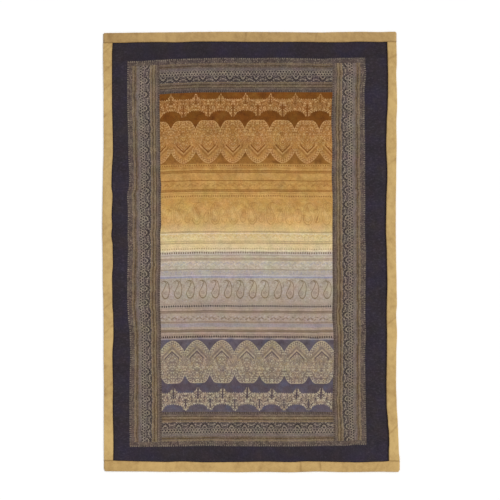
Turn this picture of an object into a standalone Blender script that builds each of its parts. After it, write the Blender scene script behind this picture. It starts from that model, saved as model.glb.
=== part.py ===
"""A printed, quilted throw lying flat, face up, with a tan strip folded over each of its four edges.

Metres, +Z up. +X runs across the throw to the right of its face, +Y along it to the top. The origin is
under the middle of the throw, on the surface that it lies on. One padded cloth carries the print, from
raw edge to raw edge. Its margin is pressed thin inside the folded strips. The top and bottom strips run
the full width, and the side strips end against them.
"""

import math
from collections import namedtuple

import bmesh
import bpy

# Cut sizes of the cloth, measured flat on its face
WIDTH = 1.400
LENGTH = 2.100
LEFT_STRIP = 0.043
RIGHT_STRIP = 0.046
END_STRIP = 0.047
LEFT_MARGIN = 0.0735
RIGHT_MARGIN = 0.0998
TOP_MARGIN = 0.0812
BOTTOM_MARGIN = 0.0716
LEFT_BORDER = 0.1552
RIGHT_BORDER = 0.1600
TOP_BORDER = 0.1591
BOTTOM_BORDER = 0.1672

# Thicknesses, from the surface that the throw lies on
TOUCH_GAP = 0.0003
BINDING_CLOTH = 0.0010
PRESSED_MARGIN = 0.0024
BINDING_HEIGHT = 2 * (BINDING_CLOTH + TOUCH_GAP) + PRESSED_MARGIN
MARGIN_UNDERSIDE = BINDING_CLOTH + TOUCH_GAP
MARGIN_TOP_SIDE = MARGIN_UNDERSIDE + PRESSED_MARGIN
SEWN_HEIGHT = 0.0045
CROWN_HEIGHT = 0.0072

# The fold of a strip, and the raw edge of the padded cloth inside it
FOLD_WALL = 0.0020
RAW_EDGE_INSET = 0.0050
FOLD_ROUNDING = 0.0012
FOLD_ROUNDING_STEPS = 2
SHARP_EDGE = math.radians(40)
DITCH = 0.0010
HEEL = 0.0120
SWELL_PLACE = 0.8

# Puckers along the padded channels
PUCKER_PITCH = 0.1185
PUCKER_DEPTH = 0.22
MARGIN_PUCKER_PITCH = 2 * PUCKER_PITCH
MARGIN_PUCKER_DEPTH = 0.44
SIDE_RISE = 0.030

MILLIMETRE = 0.001
SAME_POINT = 0.00001
SAME_PLANE = 0.0001

# How the two edges of a binding strip stray from straight. along is metres from the middle of the throw,
# fold and seam are millimetres outwards at the folded edge and at the sewn inner edge.
Stray = namedtuple("Stray", "along fold seam")

LEFT_STRAY = (
    Stray(1.041, 1.0, -1.9),
    Stray(0.945, 1.2, 2.4),
    Stray(0.754, -1.0, 2.4),
    Stray(0.492, -1.4, -1.9),
    Stray(0.372, 1.7, 4.3),
    Stray(0.324, 2.4, 5.3),
    Stray(0.277, 3.3, 0.0),
    Stray(0.181, 4.8, 4.3),
    Stray(0.133, 5.2, 1.9),
    Stray(0.086, 5.2, 5.7),
    Stray(0.038, 3.8, -0.5),
    Stray(-0.058, 2.4, -1.9),
    Stray(-0.106, 2.6, 1.9),
    Stray(-0.249, 0.0, 0.5),
    Stray(-0.297, -1.0, -3.3),
    Stray(-0.392, -1.4, -4.5),
    Stray(-0.488, -1.4, 0.5),
    Stray(-0.655, -2.9, -2.4),
    Stray(-0.727, -2.6, -1.0),
    Stray(-0.918, -2.6, -4.3),
    Stray(-1.023, -2.9, -3.0),
)

RIGHT_STRAY = (
    Stray(1.041, -0.5, 1.0),
    Stray(0.898, 1.4, 4.3),
    Stray(0.850, -1.0, 5.7),
    Stray(0.754, 1.9, 5.7),
    Stray(0.706, 2.9, 4.0),
    Stray(0.611, -0.5, -0.5),
    Stray(0.515, 0.7, -3.1),
    Stray(0.372, -1.0, 2.4),
    Stray(0.229, -2.9, -2.4),
    Stray(0.109, -3.3, -4.3),
    Stray(-0.010, -2.0, 0.0),
    Stray(-0.153, 0.5, 2.4),
    Stray(-0.249, 1.9, 0.0),
    Stray(-0.297, -1.4, -1.0),
    Stray(-0.392, 2.4, 0.7),
    Stray(-0.488, -0.7, 0.2),
    Stray(-0.631, -1.9, -2.0),
    Stray(-0.727, 1.0, -1.0),
    Stray(-0.822, 6.0, 5.7),
    Stray(-0.870, 8.1, 10.0),
    Stray(-0.918, 10.0, 11.5),
    Stray(-0.965, 11.5, 9.6),
    Stray(-0.996, 15.3, 9.6),
    Stray(-1.047, 7.2, 9.6),
)

TOP_STRAY = (
    Stray(-0.697, -4.3, -3.8),
    Stray(-0.621, -3.6, -4.3),
    Stray(-0.525, -2.1, -1.4),
    Stray(-0.430, -1.2, -0.5),
    Stray(-0.358, -0.7, -1.9),
    Stray(-0.239, 1.0, 1.9),
    Stray(-0.119, 1.8, 1.9),
    Stray(0.000, 1.2, 0.2),
    Stray(0.143, 0.5, 0.1),
    Stray(0.263, -0.8, 0.4),
    Stray(0.335, -1.4, -1.0),
    Stray(0.430, 0.5, -1.4),
    Stray(0.526, 1.7, 1.4),
    Stray(0.621, 0.5, -0.2),
    Stray(0.678, 1.9, 2.4),
)

BOTTOM_STRAY = (
    Stray(-0.697, -2.4, -8.6),
    Stray(-0.621, -1.8, -4.8),
    Stray(-0.525, -1.4, -2.1),
    Stray(-0.406, 0.2, 0.3),
    Stray(-0.334, 0.1, -1.9),
    Stray(-0.215, 0.4, 1.9),
    Stray(-0.071, 2.4, 0.6),
    Stray(0.058, 0.8, -1.3),
    Stray(0.191, 2.6, 1.0),
    Stray(0.263, 0.6, -2.4),
    Stray(0.311, -1.0, -1.8),
    Stray(0.454, 1.7, 0.8),
    Stray(0.502, 1.2, 2.4),
    Stray(0.621, 0.0, -1.0),
    Stray(0.678, 1.0, -5.7),
)

# The printed middle from the top down: each band is quilted along its printed lines. depth is in metres,
# steps is how many rows of faces shape its crown.
Band = namedtuple("Band", "name depth steps")

MIDDLE_BANDS = (
    Band("brown lace", 0.1228, 3),
    Band("brown medallions", 0.2197, 5),
    Band("amber stripes", 0.1529, 4),
    Band("gold ground", 0.1672, 4),
    Band("cream sprigs", 0.1003, 3),
    Band("grey sprigs", 0.1194, 3),
    Band("paisley row", 0.1337, 3),
    Band("beige stripes", 0.1529, 4),
    Band("plum medallions", 0.2436, 5),
    Band("plum lace", 0.1137, 3),
)

MARGIN_STEPS = 2
BORDER_STEPS = 4
MIDDLE_STEPS = 21

PRINT_COLOUR = (0.24, 0.17, 0.11, 1.0)
BINDING_COLOUR = (0.54, 0.37, 0.16, 1.0)


def stray_at(rows, along, column):
    """Metres that an edge strays outwards at a place along it, easing from one row to the next."""
    ordered = sorted(rows, key=lambda row: row.along)
    along = min(max(along, ordered[0].along), ordered[-1].along)
    for low, high in zip(ordered, ordered[1:]):
        if along <= high.along:
            share = (along - low.along) / (high.along - low.along)
            share = share * share * (3 - 2 * share)
            start = getattr(low, column)
            end = getattr(high, column)
            return (start + (end - start) * share) * MILLIMETRE
    return getattr(ordered[-1], column) * MILLIMETRE


def spread(start, end, steps):
    """Evenly spaced lines after start, up to and with end."""
    return [start + (end - start) * step / steps for step in range(1, steps + 1)]


# Straight lines of the flat cloth, before its edges stray
LEFT_SEAM = -WIDTH / 2 + LEFT_STRIP
LEFT_TEETH = LEFT_SEAM + LEFT_MARGIN
MIDDLE_LEFT = LEFT_TEETH + LEFT_BORDER
RIGHT_SEAM = WIDTH / 2 - RIGHT_STRIP
RIGHT_TEETH = RIGHT_SEAM - RIGHT_MARGIN
MIDDLE_RIGHT = RIGHT_TEETH - RIGHT_BORDER
TOP_SEAM = LENGTH / 2 - END_STRIP
TOP_TEETH = TOP_SEAM - TOP_MARGIN
MIDDLE_TOP = TOP_TEETH - TOP_BORDER
BOTTOM_SEAM = -LENGTH / 2 + END_STRIP
BOTTOM_TEETH = BOTTOM_SEAM + BOTTOM_MARGIN
MIDDLE_BOTTOM = BOTTOM_TEETH + BOTTOM_BORDER


def band_lines():
    """Sewn lines between the bands of the printed middle, from the top down."""
    lines = [MIDDLE_TOP]
    for band in MIDDLE_BANDS:
        lines.append(lines[-1] - band.depth)
    lines[-1] = MIDDLE_BOTTOM
    return lines


def column_lines():
    """Lines of faces across the throw, left to right, on the straight cloth."""
    heel_left = LEFT_SEAM + DITCH + HEEL
    heel_right = RIGHT_SEAM - DITCH - HEEL
    lines = [-WIDTH / 2 + RAW_EDGE_INSET, LEFT_SEAM + DITCH, heel_left]
    lines += spread(heel_left, LEFT_TEETH, MARGIN_STEPS)
    lines += spread(LEFT_TEETH, MIDDLE_LEFT, BORDER_STEPS)
    lines += spread(MIDDLE_LEFT, MIDDLE_RIGHT, MIDDLE_STEPS)
    lines += spread(MIDDLE_RIGHT, RIGHT_TEETH, BORDER_STEPS)
    lines += spread(RIGHT_TEETH, heel_right, MARGIN_STEPS)
    lines += [RIGHT_SEAM - DITCH, WIDTH / 2 - RAW_EDGE_INSET]
    return lines


def row_lines():
    """Lines of faces along the throw, bottom to top, on the straight cloth."""
    heel_top = TOP_SEAM - DITCH - HEEL
    heel_bottom = BOTTOM_SEAM + DITCH + HEEL
    lines = [LENGTH / 2 - RAW_EDGE_INSET, TOP_SEAM - DITCH, heel_top]
    lines += spread(heel_top, TOP_TEETH, MARGIN_STEPS)
    lines += spread(TOP_TEETH, MIDDLE_TOP, BORDER_STEPS)
    sewn = band_lines()
    for band, start, end in zip(MIDDLE_BANDS, sewn, sewn[1:]):
        lines += spread(start, end, band.steps)
    lines += spread(MIDDLE_BOTTOM, BOTTOM_TEETH, BORDER_STEPS)
    lines += spread(BOTTOM_TEETH, heel_bottom, MARGIN_STEPS)
    lines += [BOTTOM_SEAM + DITCH, -LENGTH / 2 + RAW_EDGE_INSET]
    return lines[::-1]


def held(value, low, high):
    return min(max(value, low), high)


def left_fold(y):
    return -WIDTH / 2 - stray_at(LEFT_STRAY, y, "fold")


def left_seam(y):
    return LEFT_SEAM - stray_at(LEFT_STRAY, held(y, BOTTOM_SEAM, TOP_SEAM), "seam")


def right_fold(y):
    return WIDTH / 2 + stray_at(RIGHT_STRAY, y, "fold")


def right_seam(y):
    return RIGHT_SEAM + stray_at(RIGHT_STRAY, held(y, BOTTOM_SEAM, TOP_SEAM), "seam")


def top_fold(x):
    return LENGTH / 2 + stray_at(TOP_STRAY, x, "fold")


def top_seam(x):
    """Sewn inner edge of the top strip, straight where a side strip ends against it."""
    return TOP_SEAM + stray_at(TOP_STRAY, held(x, LEFT_SEAM, RIGHT_SEAM), "seam")


def bottom_fold(x):
    return -LENGTH / 2 - stray_at(BOTTOM_STRAY, x, "fold")


def bottom_seam(x):
    return BOTTOM_SEAM - stray_at(BOTTOM_STRAY, held(x, LEFT_SEAM, RIGHT_SEAM), "seam")


def cloth_point(x, y):
    """Where a point of the straight cloth lies once the edges stray.

    The cloth between the sewn edges follows them less and less towards the printed middle.
    """
    if x < MIDDLE_LEFT:
        edge = left_seam(y) - LEFT_SEAM
        if x < LEFT_SEAM:
            edge = left_fold(y) + WIDTH / 2
        x_lean = edge * held((MIDDLE_LEFT - x) / (MIDDLE_LEFT - LEFT_SEAM), 0, 1)
    else:
        edge = right_seam(y) - RIGHT_SEAM
        if x > RIGHT_SEAM:
            edge = right_fold(y) - WIDTH / 2
        x_lean = edge * held((x - MIDDLE_RIGHT) / (RIGHT_SEAM - MIDDLE_RIGHT), 0, 1)
    if y > MIDDLE_TOP:
        edge = top_seam(x) - TOP_SEAM
        if y > TOP_SEAM:
            edge = top_fold(x) - LENGTH / 2
        y_lean = edge * held((y - MIDDLE_TOP) / (TOP_SEAM - MIDDLE_TOP), 0, 1)
    else:
        edge = bottom_seam(x) - BOTTOM_SEAM
        if y < BOTTOM_SEAM:
            edge = bottom_fold(x) + LENGTH / 2
        y_lean = edge * held((MIDDLE_BOTTOM - y) / (MIDDLE_BOTTOM - BOTTOM_SEAM), 0, 1)
    return x + x_lean, y + y_lean


def ring_share(x, y, outer, inner):
    """Place across a ring between two rectangles, from 0 at the outer one to 1 at the inner one.

    Each rectangle is its left, right, bottom and top lines.
    """
    from_outer = min(x - outer[0], outer[1] - x, y - outer[2], outer[3] - y)
    from_inner = max(inner[0] - x, x - inner[1], inner[2] - y, y - inner[3])
    return held(from_outer / (from_outer + from_inner), 0, 1)


def puff(x, y):
    """Height of the padding from 0 on a sewn line to 1 on a channel's crown."""
    seams = (LEFT_SEAM + DITCH, RIGHT_SEAM - DITCH, BOTTOM_SEAM + DITCH, TOP_SEAM - DITCH)
    teeth = (LEFT_TEETH, RIGHT_TEETH, BOTTOM_TEETH, TOP_TEETH)
    middle = (MIDDLE_LEFT, MIDDLE_RIGHT, MIDDLE_BOTTOM, MIDDLE_TOP)
    turn = 2 * math.pi / PUCKER_PITCH
    margin_turn = 2 * math.pi / MARGIN_PUCKER_PITCH
    if middle[0] < x < middle[1] and middle[2] < y < middle[3]:
        sewn = band_lines()
        for number, (start, end) in enumerate(zip(sewn, sewn[1:])):
            if end <= y <= start:
                across = math.sin(math.pi * (start - y) / (start - end))
                side = held(min(x - middle[0], middle[1] - x) / SIDE_RISE, 0, 1)
                pucker = 1 - PUCKER_DEPTH * math.sin(turn * x + number) ** 2
                return across * side * pucker
    if teeth[0] < x < teeth[1] and teeth[2] < y < teeth[3]:
        across = math.sin(math.pi * ring_share(x, y, teeth, middle))
        return across * (1 - PUCKER_DEPTH * math.sin(turn * (x + y)) ** 2)
    across = math.sin(math.pi * ring_share(x, y, seams, teeth))
    return across * (1 - MARGIN_PUCKER_DEPTH * math.sin(margin_turn * (x - y)) ** 2)


def top_height(x, y):
    """Height of the printed face: pressed thin in the binding, rising to the padded channels."""
    inside = min(
        x - LEFT_SEAM - DITCH,
        RIGHT_SEAM - DITCH - x,
        y - BOTTOM_SEAM - DITCH,
        TOP_SEAM - DITCH - y,
    )
    if inside <= 0:
        return MARGIN_TOP_SIDE
    sewn = MARGIN_TOP_SIDE + (SEWN_HEIGHT - MARGIN_TOP_SIDE) * held(inside / HEEL, 0, 1)
    return sewn + (CROWN_HEIGHT - SEWN_HEIGHT) * puff(x, y)


def underside_height(column, row, last_column, last_row):
    """The underside is raised where the binding folds below it, and flat on the surface elsewhere."""
    in_binding = min(column, row, last_column - column, last_row - row) <= 1
    return MARGIN_UNDERSIDE if in_binding else 0.0


def cloth_material(name, colour, roughness):
    material = bpy.data.materials.new(name)
    material.use_nodes = True
    shader = material.node_tree.nodes["Principled BSDF"]
    shader.inputs["Base Color"].default_value = colour
    shader.inputs["Roughness"].default_value = roughness
    shader.inputs["Metallic"].default_value = 0.0
    return material


def link(name, data, collection):
    piece = bpy.data.objects.new(name, data)
    collection.objects.link(piece)
    return piece


def quilt_mesh(columns, rows):
    """The padded cloth: a grid of faces raised into its channels, given its flat underside."""
    bm = bmesh.new()
    last_column = len(columns) - 1
    last_row = len(rows) - 1
    bmesh.ops.create_grid(bm, x_segments=last_column, y_segments=last_row, size=0.5)
    underside = []
    for vert in bm.verts:
        column = round((vert.co.x + 0.5) * last_column)
        row = round((vert.co.y + 0.5) * last_row)
        x, y = cloth_point(columns[column], rows[row])
        vert.co = (x, y, top_height(columns[column], rows[row]))
        underside.append(underside_height(column, row, last_column, last_row))
    face = list(bm.verts) + list(bm.edges) + list(bm.faces)
    copied = bmesh.ops.duplicate(bm, geom=face)["geom"]
    under = [item for item in copied if isinstance(item, bmesh.types.BMVert)]
    for vert, height in zip(under, underside):
        vert.co.z = height
    rims = [edge for edge in bm.edges if edge.is_boundary]
    bmesh.ops.bridge_loops(bm, edges=rims)
    flat = [vert for vert in under if vert.co.z == 0]
    flat_edges = {edge for vert in flat for edge in vert.link_edges}
    bmesh.ops.dissolve_limit(bm, angle_limit=SAME_PLANE, verts=flat, edges=list(flat_edges))
    bmesh.ops.recalc_face_normals(bm, faces=bm.faces)
    mesh = bpy.data.meshes.new("quilt cloth")
    bm.to_mesh(mesh)
    bm.free()
    return mesh


def flat_slab(name, outline, bottom, top, collection):
    """A filled outline given a thickness, as a closed mesh."""
    curve = bpy.data.curves.new(name, "CURVE")
    curve.dimensions = "2D"
    curve.fill_mode = "BOTH"
    curve.extrude = (top - bottom) / 2
    spline = curve.splines.new("POLY")
    spline.points.add(len(outline) - 1)
    for point, (x, y) in zip(spline.points, outline):
        point.co = (x, y, 0, 1)
    spline.use_cyclic_u = True
    drawn = link(name + " outline", curve, collection)
    bpy.context.view_layer.update()
    evaluated = drawn.evaluated_get(bpy.context.evaluated_depsgraph_get())
    mesh = bpy.data.meshes.new_from_object(evaluated)
    bpy.data.objects.remove(drawn)
    bm = bmesh.new()
    bm.from_mesh(mesh)
    bmesh.ops.remove_doubles(bm, verts=bm.verts, dist=SAME_POINT)
    bmesh.ops.translate(bm, verts=bm.verts, vec=(0, 0, (bottom + top) / 2))
    bmesh.ops.recalc_face_normals(bm, faces=bm.faces)
    bm.to_mesh(mesh)
    bm.free()
    return link(name, mesh, collection)


def between(lines, low, high):
    return [low] + [line for line in lines if low < line < high] + [high]


def end_strip_outline(columns, fold, seam):
    """A top or bottom strip runs from the left fold to the right fold, where its end may swell."""
    corner_x = (left_fold(fold(-WIDTH / 2)), right_fold(fold(WIDTH / 2)))
    seam_x = (left_fold(seam(-WIDTH / 2)), right_fold(seam(WIDTH / 2)))
    folded = [(x, fold(x)) for x in between(columns, *corner_x)]
    sewn = [(x, seam(x)) for x in between(columns, *seam_x)]
    fold_y = fold(WIDTH / 2)
    swell_y = fold_y + (seam(WIDTH / 2) - fold_y) * SWELL_PLACE
    end = [(right_fold(swell_y), swell_y)]
    return folded + end + sewn[::-1]


def side_strip_outline(rows, fold, seam):
    """A side strip runs between the inner edges of the end strips, a touching gap from each."""
    side = fold(0)
    low = bottom_seam(side) + TOUCH_GAP
    high = top_seam(side) - TOUCH_GAP
    lines = between(rows, low, high)
    return [(fold(y), y) for y in lines] + [(seam(y), y) for y in lines[::-1]]


def fold_room_outline(columns, rows):
    """The space that the folded strips leave for the pressed margin, a wall in from the folds."""
    left = -WIDTH / 2 + FOLD_WALL
    right = WIDTH / 2 - FOLD_WALL
    low = -LENGTH / 2 + FOLD_WALL
    high = LENGTH / 2 - FOLD_WALL
    inner_columns = [x for x in columns if left < x < right]
    inner_rows = [y for y in rows if low < y < high]
    outline = [(left_fold(y) + FOLD_WALL, y) for y in inner_rows]
    outline += [(x, top_fold(x) - FOLD_WALL) for x in inner_columns]
    outline += [(right_fold(y) - FOLD_WALL, y) for y in inner_rows[::-1]]
    outline += [(x, bottom_fold(x) + FOLD_WALL) for x in inner_columns[::-1]]
    return outline


def binding_strip(name, outline, room, collection, empty, material):
    """A flat folded strip with rounded edges, open on its inner side where the cloth goes in."""
    strip = flat_slab(name, outline, 0.0, BINDING_HEIGHT, collection)
    rounding = strip.modifiers.new("rounded folds", "BEVEL")
    rounding.width = FOLD_ROUNDING
    rounding.segments = FOLD_ROUNDING_STEPS
    rounding.limit_method = "ANGLE"
    rounding.angle_limit = SHARP_EDGE
    opening = strip.modifiers.new("room for the margin", "BOOLEAN")
    opening.operation = "DIFFERENCE"
    opening.solver = "EXACT"
    opening.object = room
    strip.data.materials.clear()
    strip.data.materials.append(material)
    strip.parent = empty
    return strip


def build_throw():
    for old in list(bpy.data.objects):
        bpy.data.objects.remove(old)
    scene = bpy.context.scene
    parts = bpy.data.collections.new("throw blanket")
    cutters = bpy.data.collections.new("cutters")
    scene.collection.children.link(parts)
    scene.collection.children.link(cutters)

    columns = column_lines()
    rows = row_lines()
    strips = {
        "binding_top": end_strip_outline(columns, top_fold, top_seam),
        "binding_bottom": end_strip_outline(columns, bottom_fold, bottom_seam),
        "binding_left": side_strip_outline(rows, left_fold, left_seam),
        "binding_right": side_strip_outline(rows, right_fold, right_seam),
    }
    reach = [point for outline in strips.values() for point in outline]
    middle_x = (min(x for x, _ in reach) + max(x for x, _ in reach)) / 2
    middle_y = (min(y for _, y in reach) + max(y for _, y in reach)) / 2
    centred = link("throw", None, parts)
    centred.location = (-middle_x, -middle_y, 0)

    quilt = link("quilt_panel", quilt_mesh(columns, rows), parts)
    quilt.data.materials.append(cloth_material("printed cotton", PRINT_COLOUR, 0.85))
    quilt.parent = centred

    room = flat_slab(
        "margin room",
        fold_room_outline(columns, rows),
        BINDING_CLOTH,
        BINDING_HEIGHT - BINDING_CLOTH,
        cutters,
    )
    room.hide_render = True
    room.display_type = "WIRE"
    room.parent = centred
    satin = cloth_material("tan satin", BINDING_COLOUR, 0.55)
    for name, outline in strips.items():
        binding_strip(name, outline, room, parts, centred, satin.copy())


build_throw()
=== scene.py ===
"""A printed, quilted throw laid out flat, face up, with a tan satin strip folded over each of its edges.

Metres. +X runs across the throw, +Y along it to the brown end of its print, +Z up out of its face. The
printed cotton, thin wadding and plain backing are sewn through as one padded cloth. Four satin strips
are folded over its raw edges, and rows of stitches follow the printed lines and the edges of the strips.
"""

import math
from collections import namedtuple

import bmesh
import bpy
import numpy as np
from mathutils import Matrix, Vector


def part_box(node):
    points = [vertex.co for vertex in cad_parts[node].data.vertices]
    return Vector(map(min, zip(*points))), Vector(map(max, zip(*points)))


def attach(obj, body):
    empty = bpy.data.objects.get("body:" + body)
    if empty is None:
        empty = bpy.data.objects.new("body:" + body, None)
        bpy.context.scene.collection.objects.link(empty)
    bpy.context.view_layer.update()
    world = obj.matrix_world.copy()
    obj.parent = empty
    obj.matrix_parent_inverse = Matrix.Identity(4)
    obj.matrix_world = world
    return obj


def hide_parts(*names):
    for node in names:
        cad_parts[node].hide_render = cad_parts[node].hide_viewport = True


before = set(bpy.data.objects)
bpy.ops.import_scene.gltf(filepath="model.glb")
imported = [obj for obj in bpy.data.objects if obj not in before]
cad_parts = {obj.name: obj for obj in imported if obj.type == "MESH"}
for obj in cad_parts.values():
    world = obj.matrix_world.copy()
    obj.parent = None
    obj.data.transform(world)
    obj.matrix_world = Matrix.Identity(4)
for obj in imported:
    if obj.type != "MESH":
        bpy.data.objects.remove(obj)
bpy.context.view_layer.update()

# The padded cloth, as it is cut
#
# One width of printed cotton over thin wadding and a plain backing, sewn through between its printed
# bands. All sizes are those of the straight cloth, before the sewing draws its lines in and out.

MILLIMETRE = 0.001
WIDTH = 1.400
LENGTH = 2.100
LEFT_SEAM = -WIDTH / 2 + 0.043
LEFT_TEETH = LEFT_SEAM + 0.0735
MIDDLE_LEFT = LEFT_TEETH + 0.1552
RIGHT_SEAM = WIDTH / 2 - 0.046
RIGHT_TEETH = RIGHT_SEAM - 0.0998
MIDDLE_RIGHT = RIGHT_TEETH - 0.1600
TOP_SEAM = LENGTH / 2 - 0.047
TOP_TEETH = TOP_SEAM - 0.0812
MIDDLE_TOP = TOP_TEETH - 0.1591
BOTTOM_SEAM = -LENGTH / 2 + 0.047
BOTTOM_TEETH = BOTTOM_SEAM + 0.0716
MIDDLE_BOTTOM = BOTTOM_TEETH + 0.1672
CORNER_ROWS = 0.024
RAW_EDGE_INSET = 0.005
DITCH = 0.001

# The printed middle from the top down, sewn through along the lines between its bands
Band = namedtuple("Band", "name depth")
BANDS = (
    Band("brown lace", 0.1228),
    Band("brown medallions", 0.2197),
    Band("amber stripes", 0.1529),
    Band("gold ground", 0.1672),
    Band("cream sprigs", 0.1003),
    Band("grey sprigs", 0.1194),
    Band("paisley row", 0.1337),
    Band("beige stripes", 0.1529),
    Band("plum medallions", 0.2390),
    Band("plum lace", 0.1183),
)
BAND_LINES = [MIDDLE_TOP]
for band in BANDS:
    BAND_LINES.append(BAND_LINES[-1] - band.depth)
BAND_LINES[-1] = MIDDLE_BOTTOM

# How four lines along each side stray from straight, in millimetres outwards: the fold of the strip, its
# sewn inner edge, the outer edge of the printed border and the edge of the printed middle
Stray = namedtuple("Stray", "along fold seam teeth middle")

LEFT = (
    Stray(1.041, 1.0, -1.9, 2.0, 3.5),
    Stray(0.945, 1.2, 2.4, 2.0, 3.5),
    Stray(0.754, -1.0, 2.4, 3.0, 3.5),
    Stray(0.492, -1.4, -1.9, -2.5, 0.5),
    Stray(0.372, 1.7, 4.3, -6.0, -0.5),
    Stray(0.324, 2.4, 5.3, -5.0, -4.0),
    Stray(0.277, 3.3, 0.0, 3.5, -2.0),
    Stray(0.181, 4.8, 4.3, -0.5, -3.0),
    Stray(0.133, 5.2, 1.9, 0.5, -3.5),
    Stray(0.086, 5.2, 5.7, 1.5, 0.0),
    Stray(0.038, 3.8, -0.5, -1.0, -1.5),
    Stray(-0.058, 2.4, -1.9, 1.0, -2.0),
    Stray(-0.106, 2.6, 1.9, 3.0, 0.5),
    Stray(-0.249, 0.0, 0.5, 3.0, 2.0),
    Stray(-0.297, -1.0, -3.3, -0.5, -1.5),
    Stray(-0.392, -1.4, -4.5, -9.0, -3.5),
    Stray(-0.488, -1.4, 0.5, -11.0, -1.0),
    Stray(-0.655, -2.9, -2.4, -8.0, -7.0),
    Stray(-0.727, -2.6, -1.0, -7.5, -7.0),
    Stray(-0.918, -2.6, -4.3, -8.5, -7.0),
    Stray(-1.023, -2.9, -3.0, -8.5, -7.0),
)

RIGHT = (
    Stray(1.041, -0.5, 1.0, -3.5, 0.0),
    Stray(0.898, 1.4, 4.3, -3.5, 0.0),
    Stray(0.850, -1.0, 5.7, 0.0, 0.0),
    Stray(0.754, 1.9, 5.7, -7.5, 0.0),
    Stray(0.706, 2.9, 4.0, -6.0, -4.0),
    Stray(0.611, -0.5, -0.5, -6.0, -5.0),
    Stray(0.515, 0.7, -3.1, -4.0, -1.0),
    Stray(0.372, -1.0, 2.4, -4.0, -4.0),
    Stray(0.229, -2.9, -2.4, -3.0, 0.5),
    Stray(0.109, -3.3, -4.3, -5.0, -0.5),
    Stray(-0.010, -2.0, 0.0, 0.0, -0.5),
    Stray(-0.153, 0.5, 2.4, -2.0, 1.0),
    Stray(-0.249, 1.9, 0.0, -2.5, 0.0),
    Stray(-0.297, -1.4, -1.0, -3.0, -1.0),
    Stray(-0.392, 2.4, 0.7, 0.0, 4.5),
    Stray(-0.488, -0.7, 0.2, -4.5, 6.0),
    Stray(-0.631, -1.9, -2.0, -2.5, 3.0),
    Stray(-0.727, 1.0, -1.0, -1.0, -1.0),
    Stray(-0.822, 6.0, 5.7, 1.0, 5.0),
    Stray(-0.870, 8.1, 10.0, 2.0, 5.0),
    Stray(-0.918, 10.0, 11.5, 2.5, 5.0),
    Stray(-0.965, 11.5, 9.6, 2.5, 5.0),
    Stray(-0.996, 15.3, 9.6, 2.5, 5.0),
    Stray(-1.047, 7.2, 9.6, 2.5, 5.0),
)

TOP = (
    Stray(-0.697, -4.3, -3.8, -11.5, -10.5),
    Stray(-0.621, -3.6, -4.3, -11.5, -10.5),
    Stray(-0.525, -2.1, -1.4, -10.5, -10.5),
    Stray(-0.430, -1.2, -0.5, -4.5, -10.0),
    Stray(-0.358, -0.7, -1.9, -0.5, -5.0),
    Stray(-0.239, 1.0, 1.9, 3.5, -0.5),
    Stray(-0.119, 1.8, 1.9, 5.5, 0.0),
    Stray(0.000, 1.2, 0.2, 4.0, 0.0),
    Stray(0.143, 0.5, 0.1, 5.5, 0.5),
    Stray(0.263, -0.8, 0.4, 3.5, 0.0),
    Stray(0.335, -1.4, -1.0, 1.0, 0.0),
    Stray(0.430, 0.5, -1.4, 5.0, 0.5),
    Stray(0.526, 1.7, 1.4, 6.0, 0.5),
    Stray(0.621, 0.5, -0.2, 6.0, 0.5),
    Stray(0.678, 1.9, 2.4, 6.0, 0.5),
)

BOTTOM = (
    Stray(-0.697, -2.4, -8.6, 0.0, 2.0),
    Stray(-0.621, -1.8, -4.8, 0.0, 2.0),
    Stray(-0.525, -1.4, -2.1, 0.0, 2.0),
    Stray(-0.406, 0.2, 0.3, -1.0, 1.0),
    Stray(-0.334, 0.1, -1.9, -2.5, 0.0),
    Stray(-0.215, 0.4, 1.9, -5.0, -1.0),
    Stray(-0.071, 2.4, 0.6, -3.0, 0.0),
    Stray(0.058, 0.8, -1.3, -2.5, 0.0),
    Stray(0.191, 2.6, 1.0, -2.0, 0.5),
    Stray(0.263, 0.6, -2.4, -3.0, 0.0),
    Stray(0.311, -1.0, -1.8, -4.0, 0.0),
    Stray(0.454, 1.7, 0.8, -5.5, 0.0),
    Stray(0.502, 1.2, 2.4, -10.0, 0.0),
    Stray(0.621, 0.0, -1.0, -10.5, 0.0),
    Stray(0.678, 1.0, -5.7, -10.5, 0.0),
)

# The straight cloth's middle lies a little beside the throw's, whose lower right corner flares out
LEFTMOST = WIDTH / 2 + max(row.fold for row in LEFT) * MILLIMETRE
TOPMOST = LENGTH / 2 + max(row.fold for row in TOP) * MILLIMETRE
CLOTH_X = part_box("binding_left")[0].x + LEFTMOST
CLOTH_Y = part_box("binding_top")[1].y - TOPMOST


def stray(rows, column, along):
    """Metres that a line strays outwards at places along it, easing from one row to the next."""
    ordered = sorted(rows)
    places = np.array([row.along for row in ordered])
    strays = np.array([getattr(row, column) for row in ordered]) * MILLIMETRE
    along = np.clip(along, places[0], places[-1])
    after = np.clip(np.searchsorted(places, along), 1, len(places) - 1)
    share = (along - places[after - 1]) / (places[after] - places[after - 1])
    share = share * share * (3 - 2 * share)
    return strays[after - 1] + (strays[after] - strays[after - 1]) * share


def ripple(across, along, size_across, size_along, seed):
    """Smooth uneven hills from -1 to 1, about that far apart each way."""
    heights = np.random.default_rng(seed).uniform(-1, 1, (512, 512))
    a = np.asarray(across) / size_across + 200
    b = np.asarray(along) / size_along + 200
    column = np.floor(a).astype(int)
    row = np.floor(b).astype(int)
    a = a - column
    b = b - row
    a = a * a * (3 - 2 * a)
    b = b * b * (3 - 2 * b)
    near = heights[row, column] * (1 - a) + heights[row, column + 1] * a
    far = heights[row + 1, column] * (1 - a) + heights[row + 1, column + 1] * a
    return near * (1 - b) + far * b


def between_lines(at, lines, strays):
    """The stray at each place, from the strays of the lines on both sides of it."""
    after = np.clip(np.searchsorted(lines, at), 1, len(lines) - 1)
    share = np.clip((at - np.take(lines, after - 1)) / np.diff(lines)[after - 1], 0, 1)
    everywhere = np.arange(len(at))
    low = strays[after - 1, everywhere]
    return low + (strays[after, everywhere] - low) * share


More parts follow.
